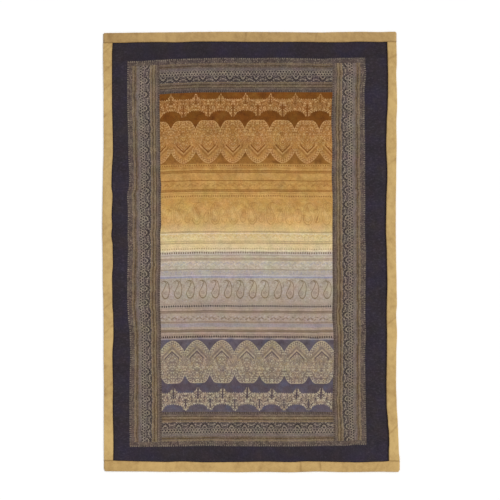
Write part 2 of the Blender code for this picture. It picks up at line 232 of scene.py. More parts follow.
# Inside the middle the printed rows sag a little on the right and waver
SAG = 0.0021
SAG_REACH = 0.190
WAVER = 0.0011
ROW_WAVER = 0.0008


def laid(u, v):
    """Where places of the straight cloth lie on the throw, from arrays of places across and along it."""
    u = np.asarray(u, float)
    v = np.asarray(v, float)
    seam_v = np.clip(v, BOTTOM_SEAM, TOP_SEAM)
    seam_u = np.clip(u, LEFT_SEAM, RIGHT_SEAM)
    across_lines = (-WIDTH / 2, LEFT_SEAM, LEFT_TEETH, MIDDLE_LEFT)
    across_lines += (MIDDLE_RIGHT, RIGHT_TEETH, RIGHT_SEAM, WIDTH / 2)
    across_strays = [
        -stray(LEFT, "fold", v),
        -stray(LEFT, "seam", seam_v),
        -stray(LEFT, "teeth", v),
        -stray(LEFT, "middle", v),
        stray(RIGHT, "middle", v),
        stray(RIGHT, "teeth", v),
        stray(RIGHT, "seam", seam_v),
        stray(RIGHT, "fold", v),
    ]
    along_lines = (-LENGTH / 2, BOTTOM_SEAM, BOTTOM_TEETH, MIDDLE_BOTTOM)
    along_lines += (MIDDLE_TOP, TOP_TEETH, TOP_SEAM, LENGTH / 2)
    along_strays = [
        -stray(BOTTOM, "fold", u),
        -stray(BOTTOM, "seam", seam_u),
        -stray(BOTTOM, "teeth", u),
        -stray(BOTTOM, "middle", u),
        stray(TOP, "middle", u),
        stray(TOP, "teeth", u),
        stray(TOP, "seam", seam_u),
        stray(TOP, "fold", u),
    ]
    x = u + between_lines(u, across_lines, np.array(across_strays))
    y = v + between_lines(v, along_lines, np.array(along_strays))
    to_ends = np.clip(np.minimum(MIDDLE_TOP - v, v - MIDDLE_BOTTOM) / 0.1, 0, 1)
    in_middle = np.clip(np.minimum(u - LEFT_TEETH, RIGHT_TEETH - u) / 0.05, 0, 1) * to_ends
    y -= in_middle * SAG * np.clip(u / SAG_REACH, 0, 1) ** 2
    y += in_middle * WAVER * ripple(u, v, 0.14, 0.30, 11)
    y += in_middle * ROW_WAVER * ripple(u, v, 0.05, 0.06, 12)
    x += in_middle * ROW_WAVER * ripple(u, v, 0.09, 0.05, 13)
    return x + CLOTH_X, y + CLOTH_Y


# The padding: how high the face stands over what the throw lies on
MARGIN_UNDERSIDE = 0.0013
MARGIN_TOP_SIDE = 0.0037
SEWN_HEIGHT = 0.0043
CROWN = 0.0034
HEEL = 0.012
SIDE_RISE = 0.030
WRINKLE_REACH = 0.028

# Two small folds left in the face: where, which way they run, half length, half width and height
Fold = namedtuple("Fold", "across along turn long wide high")
FOLDS = (
    Fold(0.322, MIDDLE_TOP - 0.600, 1.285, 0.026, 0.0065, 0.0020),
    Fold(-0.024, MIDDLE_TOP + 0.080, 1.571, 0.080, 0.0080, -0.0012),
)


def ring_share(u, v, outer, inner):
    """Place across a ring between two rectangles, from 0 at the outer one to 1 at the inner one."""
    from_outer = np.minimum.reduce([u - outer[0], outer[1] - u, v - outer[2], outer[3] - v])
    from_inner = np.maximum.reduce([inner[0] - u, u - inner[1], inner[2] - v, v - inner[3]])
    return np.clip(from_outer / (from_outer + from_inner), 0, 1)


def face_height(u, v):
    """Height of the printed face: thin inside the strips, sewn down on the lines, crowned between."""
    seams = (LEFT_SEAM + DITCH, RIGHT_SEAM - DITCH, BOTTOM_SEAM + DITCH, TOP_SEAM - DITCH)
    teeth = (LEFT_TEETH, RIGHT_TEETH, BOTTOM_TEETH, TOP_TEETH)
    middle = (MIDDLE_LEFT, MIDDLE_RIGHT, MIDDLE_BOTTOM, MIDDLE_TOP)
    inside = np.minimum.reduce([u - seams[0], seams[1] - u, v - seams[2], seams[3] - v])
    lines = np.array(BAND_LINES[::-1])
    after = np.clip(np.searchsorted(lines, v), 1, len(lines) - 1)
    share = np.clip((v - lines[after - 1]) / (lines[after] - lines[after - 1]), 0, 1)
    band_depth = lines[after] - lines[after - 1]
    from_side = np.minimum(u - MIDDLE_LEFT, MIDDLE_RIGHT - u)
    in_middle = (from_side > 0) & (v > MIDDLE_BOTTOM) & (v < MIDDLE_TOP)
    in_border = np.minimum.reduce([u - teeth[0], teeth[1] - u, v - teeth[2], teeth[3] - v]) > 0
    border = ring_share(u, v, teeth, middle)
    margin = ring_share(u, v, seams, teeth)
    puff = np.sin(np.pi * margin)
    puff = np.where(in_border, np.sin(np.pi * border), puff)
    side = np.clip(from_side / SIDE_RISE, 0, 1)
    puff = np.where(in_middle, np.sin(np.pi * share) * side * (2 - side), puff)
    # Small wrinkles run off each sewn line, square to it
    off_row = np.minimum(share, 1 - share) * band_depth
    off_row = np.where(in_middle, off_row, 1.0)
    from_column = [abs(u - line) for line in (teeth[0], middle[0], middle[1], teeth[1])]
    off_column = np.minimum.reduce(from_column + [abs(u - seams[0]), abs(u - seams[1])])
    from_row = [abs(v - line) for line in (teeth[2], middle[2], middle[3], teeth[3])]
    off_row = np.minimum.reduce([off_row] + from_row + [abs(v - seams[2]), abs(v - seams[3])])
    in_strip = np.clip(inside / HEEL, 0, 1)
    wrinkles = ripple(u, v, 0.017, 0.070, 21) * np.exp(-off_row / WRINKLE_REACH)
    wrinkles += ripple(u, v, 0.070, 0.019, 22) * np.exp(-off_column / WRINKLE_REACH)
    wrinkles += 0.55 * ripple(u + v, u - v, 0.055, 0.032, 23)
    slack = 0.75 + 0.25 * ripple(u, v, 0.110, 0.090, 24)
    height = MARGIN_TOP_SIDE + (SEWN_HEIGHT - MARGIN_TOP_SIDE) * in_strip
    height += in_strip * (CROWN * puff * slack + (0.00035 + 0.0008 * puff) * wrinkles)
    for fold in FOLDS:
        along = (u - fold.across) * math.cos(fold.turn) + (v - fold.along) * math.sin(fold.turn)
        aside = (v - fold.along) * math.cos(fold.turn) - (u - fold.across) * math.sin(fold.turn)
        height += fold.high * np.exp(-((aside / fold.wide) ** 2) - (along / fold.long) ** 4)
    return np.maximum(height, MARGIN_TOP_SIDE)


CELL = 0.0058


def graded(lines, cell):
    """Evenly spaced places about a cell apart, with every given line among them."""
    places = [lines[0]]
    for start, end in zip(lines, lines[1:]):
        steps = max(1, round(abs(end - start) / cell))
        places += [start + (end - start) * step / steps for step in range(1, steps + 1)]
    return np.array(places)


columns = graded(
    (
        -WIDTH / 2 + RAW_EDGE_INSET,
        LEFT_SEAM + DITCH,
        LEFT_TEETH,
        MIDDLE_LEFT,
        MIDDLE_RIGHT,
        RIGHT_TEETH,
        RIGHT_SEAM - DITCH,
        WIDTH / 2 - RAW_EDGE_INSET,
    ),
    CELL,
)
rows = graded(
    (
        -LENGTH / 2 + RAW_EDGE_INSET,
        BOTTOM_SEAM + DITCH,
        BOTTOM_TEETH,
        BOTTOM_TEETH + CORNER_ROWS,
        *BAND_LINES[::-1],
        TOP_TEETH - CORNER_ROWS,
        TOP_TEETH,
        TOP_SEAM - DITCH,
        LENGTH / 2 - RAW_EDGE_INSET,
    ),
    CELL,
)


def in_the_open(place, inset=0.0):
    """Whether a place of the straight cloth lies inside the four sewn strips."""
    open_across = LEFT_SEAM + inset < place.x < RIGHT_SEAM - inset
    return open_across and BOTTOM_SEAM + inset < place.y < TOP_SEAM - inset


def straight_cloth():
    """The cloth as it is cut, flat: its face one millimetre up, its underside one plain panel."""
    bm = bmesh.new()
    last = (len(columns) - 1, len(rows) - 1)
    bmesh.ops.create_grid(bm, x_segments=last[0], y_segments=last[1], size=0.5)
    for vert in bm.verts:
        column = round((vert.co.x + 0.5) * last[0])
        row = round((vert.co.y + 0.5) * last[1])
        vert.co = (columns[column], rows[row], MILLIMETRE)
    ring = [face for face in bm.faces if not in_the_open(face.calc_center_median())]
    ring_edges = {edge for face in ring for edge in face.edges}
    ring_verts = {vert for face in ring for vert in face.verts}
    copied = bmesh.ops.duplicate(bm, geom=list(ring_verts) + list(ring_edges) + ring)["geom"]
    for item in copied:
        if isinstance(item, bmesh.types.BMVert):
            item.co.z = 0.0
    rims = [edge for edge in bm.edges if edge.is_boundary]
    opening = [edge for edge in rims if all(in_the_open(vert.co, -2 * DITCH) for vert in edge.verts)]
    bmesh.ops.bridge_loops(bm, edges=[edge for edge in rims if edge not in set(opening)])
    bmesh.ops.edgeloop_fill(bm, edges=opening)
    bmesh.ops.recalc_face_normals(bm, faces=bm.faces)
    mesh = bpy.data.meshes.new("quilt")
    bm.to_mesh(mesh)
    bm.free()
    return mesh


def read_points(data, name, width):
    values = np.zeros(len(data) * width, np.float32)
    data.foreach_get(name, values)
    return values.reshape(-1, width).astype(float)


def add_print_uv(mesh, places):
    """Gives a mesh the UV map that its print and weave follow, in metres of the straight cloth."""
    corner_points = np.zeros(len(mesh.loops), np.int32)
    mesh.loops.foreach_get("vertex_index", corner_points)
    layer = mesh.uv_layers.new(name="Print")
    layer.data.foreach_set("uv", places[corner_points].astype(np.float32).ravel())


quilt_mesh = straight_cloth()
straight = read_points(quilt_mesh.vertices, "co", 3)
face_middles = read_points(quilt_mesh.polygons, "center", 3)
add_print_uv(quilt_mesh, straight[:, :2])
laid_x, laid_y = laid(straight[:, 0], straight[:, 1])
on_face = straight[:, 2] > MILLIMETRE / 2
in_strips = np.minimum(
    np.minimum(straight[:, 0] - LEFT_SEAM, RIGHT_SEAM - straight[:, 0]),
    np.minimum(straight[:, 1] - BOTTOM_SEAM, TOP_SEAM - straight[:, 1]),
) < 2 * DITCH
under_height = np.where(in_strips, MARGIN_UNDERSIDE, 0.0)
laid_z = np.where(on_face, face_height(straight[:, 0], straight[:, 1]), under_height)
quilt_mesh.vertices.foreach_set("co", np.stack([laid_x, laid_y, laid_z], 1).astype(np.float32).ravel())
quilt_mesh.shade_smooth()
quilt = bpy.data.objects.new("quilt", quilt_mesh)
bpy.context.scene.collection.objects.link(quilt)

# Dyes
#
# The cotton is printed in soft, slightly worn dyes. Each is given as it looks in even daylight, from 0
# to 255 for red, green and blue. The tans of the satin and of the plain backing stand with them. Ditch
# is no dye but the near black of the shade painted beside the strips, also used to darken the top end of
# the margin and the thread; night haze is the colour of the sheen painted on the margin's fine wrinkles.

DYES = {
    "walnut": (116, 68, 19),
    "chestnut": (124, 77, 30),
    "umber": (94, 50, 12),
    "bronze": (130, 86, 32),
    "toffee": (140, 94, 40),
    "caramel": (150, 103, 48),
    "amber": (172, 125, 66),
    "honey": (184, 139, 78),
    "gold": (191, 146, 79),
    "light gold": (206, 165, 101),
    "straw": (208, 174, 118),
    "cream": (213, 188, 137),
    "light cream": (218, 196, 153),
    "stone": (186, 172, 153),
    "dove": (174, 162, 152),
    "ash": (172, 158, 143),
    "taupe": (161, 145, 130),
    "beige": (166, 149, 133),
    "clay": (155, 137, 122),
    "plum": (97, 87, 94),
    "dark plum": (86, 75, 82),
    "damson": (72, 60, 68),
    "slate": (88, 88, 104),
    "lace gold": (168, 121, 70),
    "medallion gold": (180, 131, 73),
    "pale gold": (212, 172, 122),
    "lace beige": (161, 142, 118),
    "lace plum": (98, 84, 84),
    "pale beige": (198, 186, 160),
    "ochre": (176, 148, 92),
    "olive": (156, 131, 96),
    "olive brown": (112, 92, 60),
    "coffee": (98, 70, 52),
    "dark dot": (40, 22, 30),
    "blue grey": (146, 144, 162),
    "lilac": (188, 178, 182),
    "pale": (226, 216, 200),
    "rose beige": (178, 152, 136),
    "night": (46, 40, 46),
    "night violet": (48, 42, 56),
    "night brown": (52, 44, 47),
    "night haze": (88, 80, 92),
    "ditch": (24, 14, 14),
    "border ground": (67, 56, 59),
    "border beige": (124, 106, 90),
    "border straw": (150, 128, 96),
    "border lilac": (128, 114, 106),
    "border pale": (172, 156, 134),
    "border olive": (98, 78, 50),
    "black dot": (28, 22, 24),
    "backing": (150, 128, 98),
    "satin": (203, 170, 107),
    "dark satin": (169, 134, 77),
    "warm satin": (199, 164, 102),
    "dark warm satin": (164, 129, 73),
    "shaded satin": (184, 150, 93),
    "dark shaded satin": (148, 114, 64),
}
DAYLIGHT = 0.945


def dye(name):
    """A dye's colour as a shader takes it."""
    shares = [value / 255 for value in DYES[name]]
    linear = [s / 12.92 if s <= 0.04045 else ((s + 0.055) / 1.055) ** 2.4 for s in shares]
    return tuple(value * DAYLIGHT for value in linear) + (1.0,)


class Field:
    """A number that varies over the cloth, kept as the node socket that gives it."""

    def __init__(self, tree, socket):
        self.tree = tree
        self.socket = socket

    def reckon(self, operation, *others):
        node = self.tree.nodes.new("ShaderNodeMath")
        node.operation = operation
        for socket, value in zip(node.inputs, (self,) + others):
            if isinstance(value, Field):
                self.tree.links.new(value.socket, socket)
            else:
                socket.default_value = value
        return Field(self.tree, node.outputs[0])

    def __add__(self, other):
        return self.reckon("ADD", other)

    def __sub__(self, other):
        return self.reckon("SUBTRACT", other)

    def __mul__(self, other):
        return self.reckon("MULTIPLY", other)

    def __truediv__(self, other):
        return self.reckon("DIVIDE", other)

    def __lt__(self, other):
        return self.reckon("LESS_THAN", other)

    def __gt__(self, other):
        return self.reckon("GREATER_THAN", other)

    def __and__(self, other):
        return self.reckon("MULTIPLY", other)

    def __or__(self, other):
        return self.reckon("MAXIMUM", other)

    def __abs__(self):
        return self.reckon("ABSOLUTE")

    def least(self, other):
        return self.reckon("MINIMUM", other)

    def most(self, other):
        return self.reckon("MAXIMUM", other)


def away(x, y):
    """Distance from the middle of a motif."""
    return (x * x + y * y).reckon("SQRT")


def within(value, low, high):
    """1 between two limits, 0 outside them."""
    return abs(value - (low + high) / 2) < (high - low) / 2


def repeated(along, pitch, start=0.0):
    """Distance along from the nearest of many repeats, to the left or to the right."""
    return (along - start).reckon("WRAP", pitch / 2, -pitch / 2)


def mirrored(along, pitch, start=0.0):
    """The same distance whichever side it is on."""
    return (along - start).reckon("PINGPONG", pitch / 2)


def place_for(u, v, size, seed):
    """A place for a noise whose clouds are about that size, in metres."""
    node = u.tree.nodes.new("ShaderNodeCombineXYZ")
    u.tree.links.new((u / size).socket, node.inputs[0])
    u.tree.links.new((v / size).socket, node.inputs[1])
    node.inputs[2].default_value = seed
    return node.outputs[0]


def clouds(u, v, size, seed, detail=2.0):
    """Even noise about one half."""
    node = u.tree.nodes.new("ShaderNodeTexNoise")
    node.inputs["Scale"].default_value = 1.0
    node.inputs["Detail"].default_value = detail
    u.tree.links.new(place_for(u, v, size, seed), node.inputs["Vector"])
    return Field(u.tree, node.outputs[0])


def flecks(u, v, size, seed):
    """Distance from the middle of the nearest of many scattered spots, in spot widths."""
    node = u.tree.nodes.new("ShaderNodeTexVoronoi")
    node.inputs["Scale"].default_value = 1.0
    node.inputs["Randomness"].default_value = 0.75
    u.tree.links.new(place_for(u, v, size, seed), node.inputs["Vector"])
    return Field(u.tree, node.outputs["Distance"])


def printed(under, ink, cover):
    """The colour of a ground with ink printed over it, where cover is how much of it the ink hides."""
    node = cover.tree.nodes.new("ShaderNodeMix")
    node.data_type = "RGBA"
    cover.tree.links.new(cover.socket, node.inputs[0])
    for socket, colour in ((node.inputs[6], under), (node.inputs[7], ink)):
        if isinstance(colour, tuple):
            socket.default_value = colour
        else:
            cover.tree.links.new(colour, socket)
    return node.outputs[2]


# The surface of the printed cotton
#
# A plain weave of soft yarn, crinkled where it was quilted and washed. Its dye is uneven: broad patches
# lean to rose, yellow or blue, and single yarns take more or less of it.

YARN = 0.0016
PATCH = 0.060


def cloth_material(name, gloss, sheen):
    """A new material with that much gloss and sheen, its node tree and its shader."""
    material = bpy.data.materials.new(name)
    material.use_nodes = True
    shader = material.node_tree.nodes["Principled BSDF"]
    shader.inputs["Specular IOR Level"].default_value = gloss
    shader.inputs["Sheen Weight"].default_value = sheen
    return material, material.node_tree, shader


def print_place(tree):
    """The place on the UV map that the print and the weave follow."""
    flat = tree.nodes.new("ShaderNodeUVMap")
    flat.uv_map = "Print"
    parts = tree.nodes.new("ShaderNodeSeparateXYZ")
    tree.links.new(flat.outputs[0], parts.inputs[0])
    return Field(tree, parts.outputs[0]), Field(tree, parts.outputs[1])


def raised(height, normal, strength=1.0, distance=1.0):
    """Bumps a normal input by a height in metres."""
    bump = height.tree.nodes.new("ShaderNodeBump")
    bump.inputs["Strength"].default_value = strength
    bump.inputs["Distance"].default_value = distance
    height.tree.links.new(height.socket, bump.inputs["Height"])
    height.tree.links.new(bump.outputs["Normal"], normal)


def cotton_surface():
    """A node group that gives a printed colour its patches, yarns, roughness and bumps."""
    group = bpy.data.node_groups.new("cotton surface", "ShaderNodeTree")
    sockets = (
        ("Colour", "INPUT", "NodeSocketColor"),
        ("Across", "INPUT", "NodeSocketFloat"),
        ("Along", "INPUT", "NodeSocketFloat"),
        ("Colour", "OUTPUT", "NodeSocketColor"),
        ("Roughness", "OUTPUT", "NodeSocketFloat"),
        ("Normal", "OUTPUT", "NodeSocketVector"),
    )
    for name, side, kind in sockets:
        group.interface.new_socket(name, in_out=side, socket_type=kind)
    entry = group.nodes.new("NodeGroupInput")
    leave = group.nodes.new("NodeGroupOutput")
    u = Field(group, entry.outputs["Across"])
    v = Field(group, entry.outputs["Along"])

    patches = group.nodes.new("ShaderNodeTexNoise")
    patches.inputs["Scale"].default_value = 1.0
    patches.inputs["Detail"].default_value = 3.0
    group.links.new(place_for(u, v, PATCH, 3.0), patches.inputs["Vector"])
    tint = group.nodes.new("ShaderNodeVectorMath")
    tint.operation = "MULTIPLY_ADD"
    tint.inputs[1].default_value = (0.22, 0.22, 0.30)
    tint.inputs[2].default_value = (0.89, 0.89, 0.85)
    group.links.new(patches.outputs["Color"], tint.inputs[0])
    patched = group.nodes.new("ShaderNodeMix")
    patched.data_type = "RGBA"
    patched.blend_type = "MULTIPLY"
    patched.inputs[0].default_value = 1.0
    group.links.new(entry.outputs["Colour"], patched.inputs[6])
    group.links.new(tint.outputs[0], patched.inputs[7])

    turn = 2 * math.pi / YARN
    weave = (u * turn).reckon("SINE") * (v * turn).reckon("SINE")
    slub = clouds(u, v, 0.006, 9.0, 1.0) - 0.5
    mottle = clouds(u, v, 0.028, 8.0, 2.0) - 0.5
    broad = clouds(u * 0.6, v, 0.090, 7.0, 2.0) - 0.5
    shade = weave * 0.05 + slub * 0.62 + mottle * 0.42 + broad * 0.34 + 1.0
    yarns = group.nodes.new("ShaderNodeVectorMath")
    yarns.operation = "SCALE"
    group.links.new(patched.outputs[2], yarns.inputs[0])
    group.links.new(shade.socket, yarns.inputs["Scale"])
    group.links.new(yarns.outputs[0], leave.inputs["Colour"])

    crinkle = clouds(u, v, 0.016, 5.0, 3.0)
    group.links.new((crinkle * 0.10 + 0.80).socket, leave.inputs["Roughness"])
    raised(crinkle * 0.0046 + weave * 0.00010 + slub * 0.0006, leave.inputs["Normal"])
    return group


COTTON = cotton_surface()


def cotton_material(name, draw):
    """A cotton material whose colour is what draw prints at each place of the straight cloth."""
    material, tree, shader = cloth_material(name, 0.10, 0.03)
    shader.inputs["Sheen Roughness"].default_value = 0.6
    u, v = print_place(tree)
    surface = tree.nodes.new("ShaderNodeGroup")
    surface.node_tree = COTTON
    tree.links.new(u.socket, surface.inputs["Across"])
    tree.links.new(v.socket, surface.inputs["Along"])
    colour = draw(u, v)
    if isinstance(colour, tuple):
        surface.inputs["Colour"].default_value = colour
    else:
        tree.links.new(colour, surface.inputs["Colour"])
    tree.links.new(surface.outputs["Colour"], shader.inputs["Base Color"])
    tree.links.new(surface.outputs["Roughness"], shader.inputs["Roughness"])
    tree.links.new(surface.outputs["Normal"], shader.inputs["Normal"])
    return material


def hand_printed(u, v):
    """The same place moved by up to a millimetre or so, as a hand-printed line is."""
    sway = clouds(u, v, 0.035, 1.0) - 0.5
    fray = clouds(u, v, 0.004, 2.0) - 0.5
    shift = sway * 0.004 + fray * 0.0014
    return u + shift, v + sway * 0.003 - fray * 0.0014


# The ground of the printed middle
#
# One dye runs into the next along the cloth, from brown through gold and cream to grey and beige, and
# then changes at once to plum. Distances are millimetres down from the top of the middle.

MIDDLE_DEPTH = (MIDDLE_TOP - MIDDLE_BOTTOM) / MILLIMETRE
GROUND = (
    (0, "walnut"),
    (150, "walnut"),
    (215, "chestnut"),
    (290, "toffee"),
    (338, "caramel"),
    (344, "amber"),
    (368, "amber"),
    (374, "honey"),
    (530, "gold"),
    (575, "light gold"),
    (620, "light gold"),
    (645, "straw"),
    (690, "cream"),
    (757, "light cream"),
    (760, "stone"),
    (838, "stone"),
    (858, "dove"),
    (885, "dove"),
    (890, "ash"),
    (960, "ash"),
    (1015, "taupe"),
    (1075, "beige"),
    (1110, "clay"),
    (1125, "beige"),
    (1178, "clay"),
    (1181, "plum"),
    (1340, "plum"),
    (1400, "dark plum"),
    (1527, "plum"),
)

# Plain printed lines: where each starts and ends, its dye, and how much of the ground it hides
Line = namedtuple("Line", "start end dye cover")
LINES = (
    Line(342, 347, "gold", 0.40),
    Line(365, 370, "light gold", 0.35),
    Line(372.5, 377.5, "toffee", 0.85),
    Line(377.5, 380, "amber", 0.7),
    Line(380, 385, "toffee", 0.75),
    Line(419, 423.5, "toffee", 0.85),
    Line(463, 467.5, "toffee", 0.75),
    Line(467.5, 470, "amber", 0.7),
    Line(470, 475, "toffee", 0.75),
    Line(476, 480, "light gold", 0.45),
    Line(481, 484, "amber", 0.7),
    Line(484.5, 489, "light gold", 0.35),
    Line(501, 505, "light gold", 0.35),
    Line(663, 670.5, "olive", 0.60),
    Line(672, 677, "pale", 0.30),
    Line(709, 713, "olive", 0.60),
    Line(713, 718.5, "ochre", 0.30),
    Line(718.5, 723.5, "olive", 0.70),
    Line(752.5, 757.5, "pale", 0.35),
    Line(771.5, 775.5, "lilac", 0.35),
    Line(776.5, 781.5, "taupe", 0.75),
    Line(784, 790, "light cream", 0.10),
    Line(791, 795.5, "olive", 0.60),
    Line(795.5, 799, "clay", 0.6),
    Line(799, 803.5, "olive", 0.55),
    Line(805, 809, "light cream", 0.20),
    Line(844, 849, "olive brown", 0.42),
    Line(873, 878, "lilac", 0.80),
    Line(879.5, 886, "blue grey", 0.90),
    Line(1009, 1013, "coffee", 0.14),
    Line(1030, 1033, "clay", 0.9),
    Line(1034, 1040, "rose beige", 0.45),
    Line(1041.5, 1046.5, "coffee", 0.60),
    Line(1046.5, 1049.5, "olive brown", 0.45),
    Line(1049.5, 1054, "coffee", 0.52),
    Line(1094.5, 1099.5, "coffee", 0.40),
    Line(1103, 1120, "blue grey", 0.38),
    Line(1123, 1130, "rose beige", 0.5),
    Line(1132, 1137, "coffee", 0.62),
    Line(1137, 1140, "olive brown", 0.55),
    Line(1140, 1145, "coffee", 0.70),
    Line(1148, 1154, "rose beige", 0.4),
    Line(1155, 1159, "coffee", 0.30),
    Line(1160, 1163, "rose beige", 0.3),
    Line(1175, 1180, "lilac", 0.35),
)

# Dotted lines: the height of the middle of the dots, their size along and across the line, and their ink
Dots = namedtuple("Dots", "at wide high dye cover between")
DOTTED = (
    Dots(349, 5.5, 5.5, "walnut", 0.75, "gold"),
    Dots(495.5, 5.5, 6.0, "walnut", 0.65, "light gold"),
    Dots(747.5, 5.5, 6.0, "olive", 0.75, "light cream"),
    Dots(766.5, 6.0, 9.0, "coffee", 0.85, "pale"),
    Dots(1021, 6.4, 8.8, "dark dot", 1.00, "pale"),
    Dots(1167, 6.4, 8.8, "dark dot", 1.00, "rose beige"),
)
DOT_PITCH = 11.0
REPEAT = 118.5


def ramp(field, stops, interpolation):
    """A colour ramp node on a field that runs from 0 to 1. Each stop is its place, colour and cover."""
    node = field.tree.nodes.new("ShaderNodeValToRGB")
    node.color_ramp.interpolation = interpolation
    elements = node.color_ramp.elements
    while len(elements) < len(stops):
        elements.new(1.0)
    for element, (place, colour, cover) in zip(elements, stops):
        element.position = place
        element.color = colour[:3] + (cover,)
    field.tree.links.new(field.socket, node.inputs[0])
    return node


def ground(depth):
    """The dye of the ground at a depth below the top of the middle."""
    stops = [(at / MIDDLE_DEPTH, dye(name), 1.0) for at, name in GROUND]
    return ramp(depth / MIDDLE_DEPTH, stops, "LINEAR").outputs["Color"]


def with_lines(colour, depth, lines, top, bottom):
    """Prints the plain lines that lie between two depths over a colour."""
    stops = [(0.0, dye("walnut"), 0.0)]
    for line in lines:
        if line.end > top and line.start < bottom:
            start = max(0.0, (line.start - top) / (bottom - top))
            end = min(1.0, (line.end - top) / (bottom - top))
            if stops[-1][0] >= start:
                stops.pop()
            stops.append((start, dye(line.dye), line.cover))
            stops.append((end, dye(line.dye), 0.0))
    if len(stops) == 1:
        return colour
    drawn = ramp((depth - top) / (bottom - top), stops, "CONSTANT")
    return printed(colour, drawn.outputs["Color"], Field(depth.tree, drawn.outputs["Alpha"]))


def with_dots(colour, u, depth, top, bottom):
    """Prints the dotted lines that reach between two depths."""
    for dots in DOTTED:
        if top - dots.high < dots.at < bottom + dots.high:
            row = within(depth, dots.at - dots.high * 0.62, dots.at + dots.high * 0.62)
            dot = (mirrored(u, DOT_PITCH) < dots.wide / 2) & within(
                depth, dots.at - dots.high / 2, dots.at + dots.high / 2
            )
            colour = printed(colour, dye(dots.between), row * 0.20)
            colour = printed(colour, dye(dots.dye), dot * dots.cover)
    return colour


# How far apart the small holes of a lace stand, and how much its flecks slip from repeat to repeat
HOLES_ACROSS = 14.8
HOLES_ALONG = 13.0
SLIP_ACROSS = 0.03
SLIP_ALONG = 0.02


def lacework(a, h):
    """Small rings and dots cut out of a lace ground, the same on both sides of a motif."""
    ring = away(repeated(a, HOLES_ACROSS), repeated(h, HOLES_ALONG))
    spot = away(repeated(a, HOLES_ACROSS, HOLES_ACROSS / 2), repeated(h, HOLES_ALONG, HOLES_ALONG / 2))
    return within(ring, 2.6, 4.6) | (spot < 2.2)


def speckled(colour, u, depth, region, light, dark, size, strength):
    """Prints light and dark flecks over a region."""
    dark_flecks = (flecks(u, depth, size, 24.0) < 0.42) & region
    light_flecks = (flecks(u, depth, size, 14.0) < 0.40) & region
    colour = printed(colour, dye(dark), dark_flecks * (0.62 * strength))
    return printed(colour, dye(light), light_flecks * (0.56 * strength))


def oval(x, y, turn, long, wide):
    """Distance from the middle of an oval turned that many radians, with 1 on its edge."""
    along = x * math.cos(turn) + y * math.sin(turn)
    aside = y * math.cos(turn) - x * math.sin(turn)
    return away(along / long, aside / wide)


def leaf(x, y, turn, long, wide):
    return oval(x, y, turn, long, wide) < 1.0


def worn(u, depth, size=30.0):
    """How well the ink took, from place to place."""
    return (clouds(u, depth, size, 6.0) * 1.3 + 0.2).least(1.0)


# The two lace edgings: half the height of the body, the narrow tips, the arches and the small teeth
LACE_BODY = 29.0
LACE_TIP = 30.0
LACE_TIP_REACH = 26.0
ARCH_HALF_WIDE = 46.0
ARCH_HIGH = 23.0
FORK_REACH = 13.0
FORK_TIP = 9.0
LACE_TOOTH = 10.4
LACE_TOOTH_HIGH = 6.5


def cusp(x, power, high):
    """The edge of a lace that swings out to a narrow tip at 0."""
    return (x * (-1 / LACE_TIP_REACH) + 1.0).most(0.0).reckon("POWER", power) * high


def arches(x):
    """The edge of a lace cut in round arches that meet in a tip at 0."""
    aside = ((x * -1.0 + REPEAT / 2) / ARCH_HALF_WIDE).least(1.0)
    arch = ((aside * aside) * -1.0 + 1.0).reckon("SQRT") * -ARCH_HIGH + ARCH_HIGH
    return arch + (x * (-1 / FORK_REACH) + 1.0).most(0.0) * FORK_TIP


def with_lace(colour, u, depth, centre, tips_at, up, ink, pale, hollow, strength):
    """A lace edging: a ragged body with narrow tips along its top and arches along its foot.

    up is 1 where the side with stems is the top one, and -1 where it is the foot.
    """
    # a and b are distances aside from the two kinds of tip, and h is the height over the body's middle
    a = mirrored(u, REPEAT, tips_at)
    b = mirrored(u, REPEAT, tips_at + REPEAT / 2)
    h = (depth - centre) * -up
    tooth = mirrored(u, LACE_TOOTH) * (2 * LACE_TOOTH_HIGH / LACE_TOOTH)
    tip = cusp(a, 2.0, LACE_TIP) if up > 0 else arches(a)
    fork = arches(b) if up > 0 else cusp(b, 1.6, LACE_TIP + 2)
    upper = tip + LACE_BODY + 1.0 - tooth
    lower = (fork + LACE_BODY + 1.0 - tooth) * -1.0
    inside = (h < upper) & (h > lower)
    stem = (a < 3.2) & within(h, 2.0, LACE_BODY + 17)
    notch = (b < 4.2) & within(h, -LACE_BODY - LACE_TIP - 4, 2.0)
    pods = leaf(a - 9.0, h - 8.0, 0.9, 7.5, 2.6) | leaf(b - 9.5, h + 9.0, -0.9, 7.5, 2.6)
    pods = pods | leaf(a - 30.0, h + 4.0, 0.5, 8.0, 2.6) | leaf(a - 29.0, h - 13.0, -0.5, 6.5, 2.4)
    arm = within(b * 0.8 + h, -14.0, -9.5) & (b < 20.0)
    arm = arm | (within(a * 0.9 - h, -16.0, -12.0) & (a < 18.0))
    rim = ((h > upper - 5.0) | (h < lower + 5.0)) & inside
    colour = printed(colour, dye(ink), (inside & worn(u, depth)) * 0.92)
    colour = printed(colour, dye(hollow), (inside & lacework(a, h)) * 0.30)
    slipped = (a + u * SLIP_ACROSS, h + u * SLIP_ALONG)
    colour = speckled(colour, *slipped, inside, pale, hollow, 8.2, strength)
    colour = printed(colour, dye(pale), rim * 0.14)
    colour = printed(colour, dye(hollow), ((arm | pods) & inside & worn(u, depth, 14.0)) * 0.80)
    return printed(colour, dye(hollow), ((stem | notch) & inside) * 0.85)


# The medallions: height of the flat end, half the width of its straight part, height of the pointed end
MEDALLION_FLAT = 59.0
MEDALLION_SHOULDER = 26.0
MEDALLION_TIP = 93.8


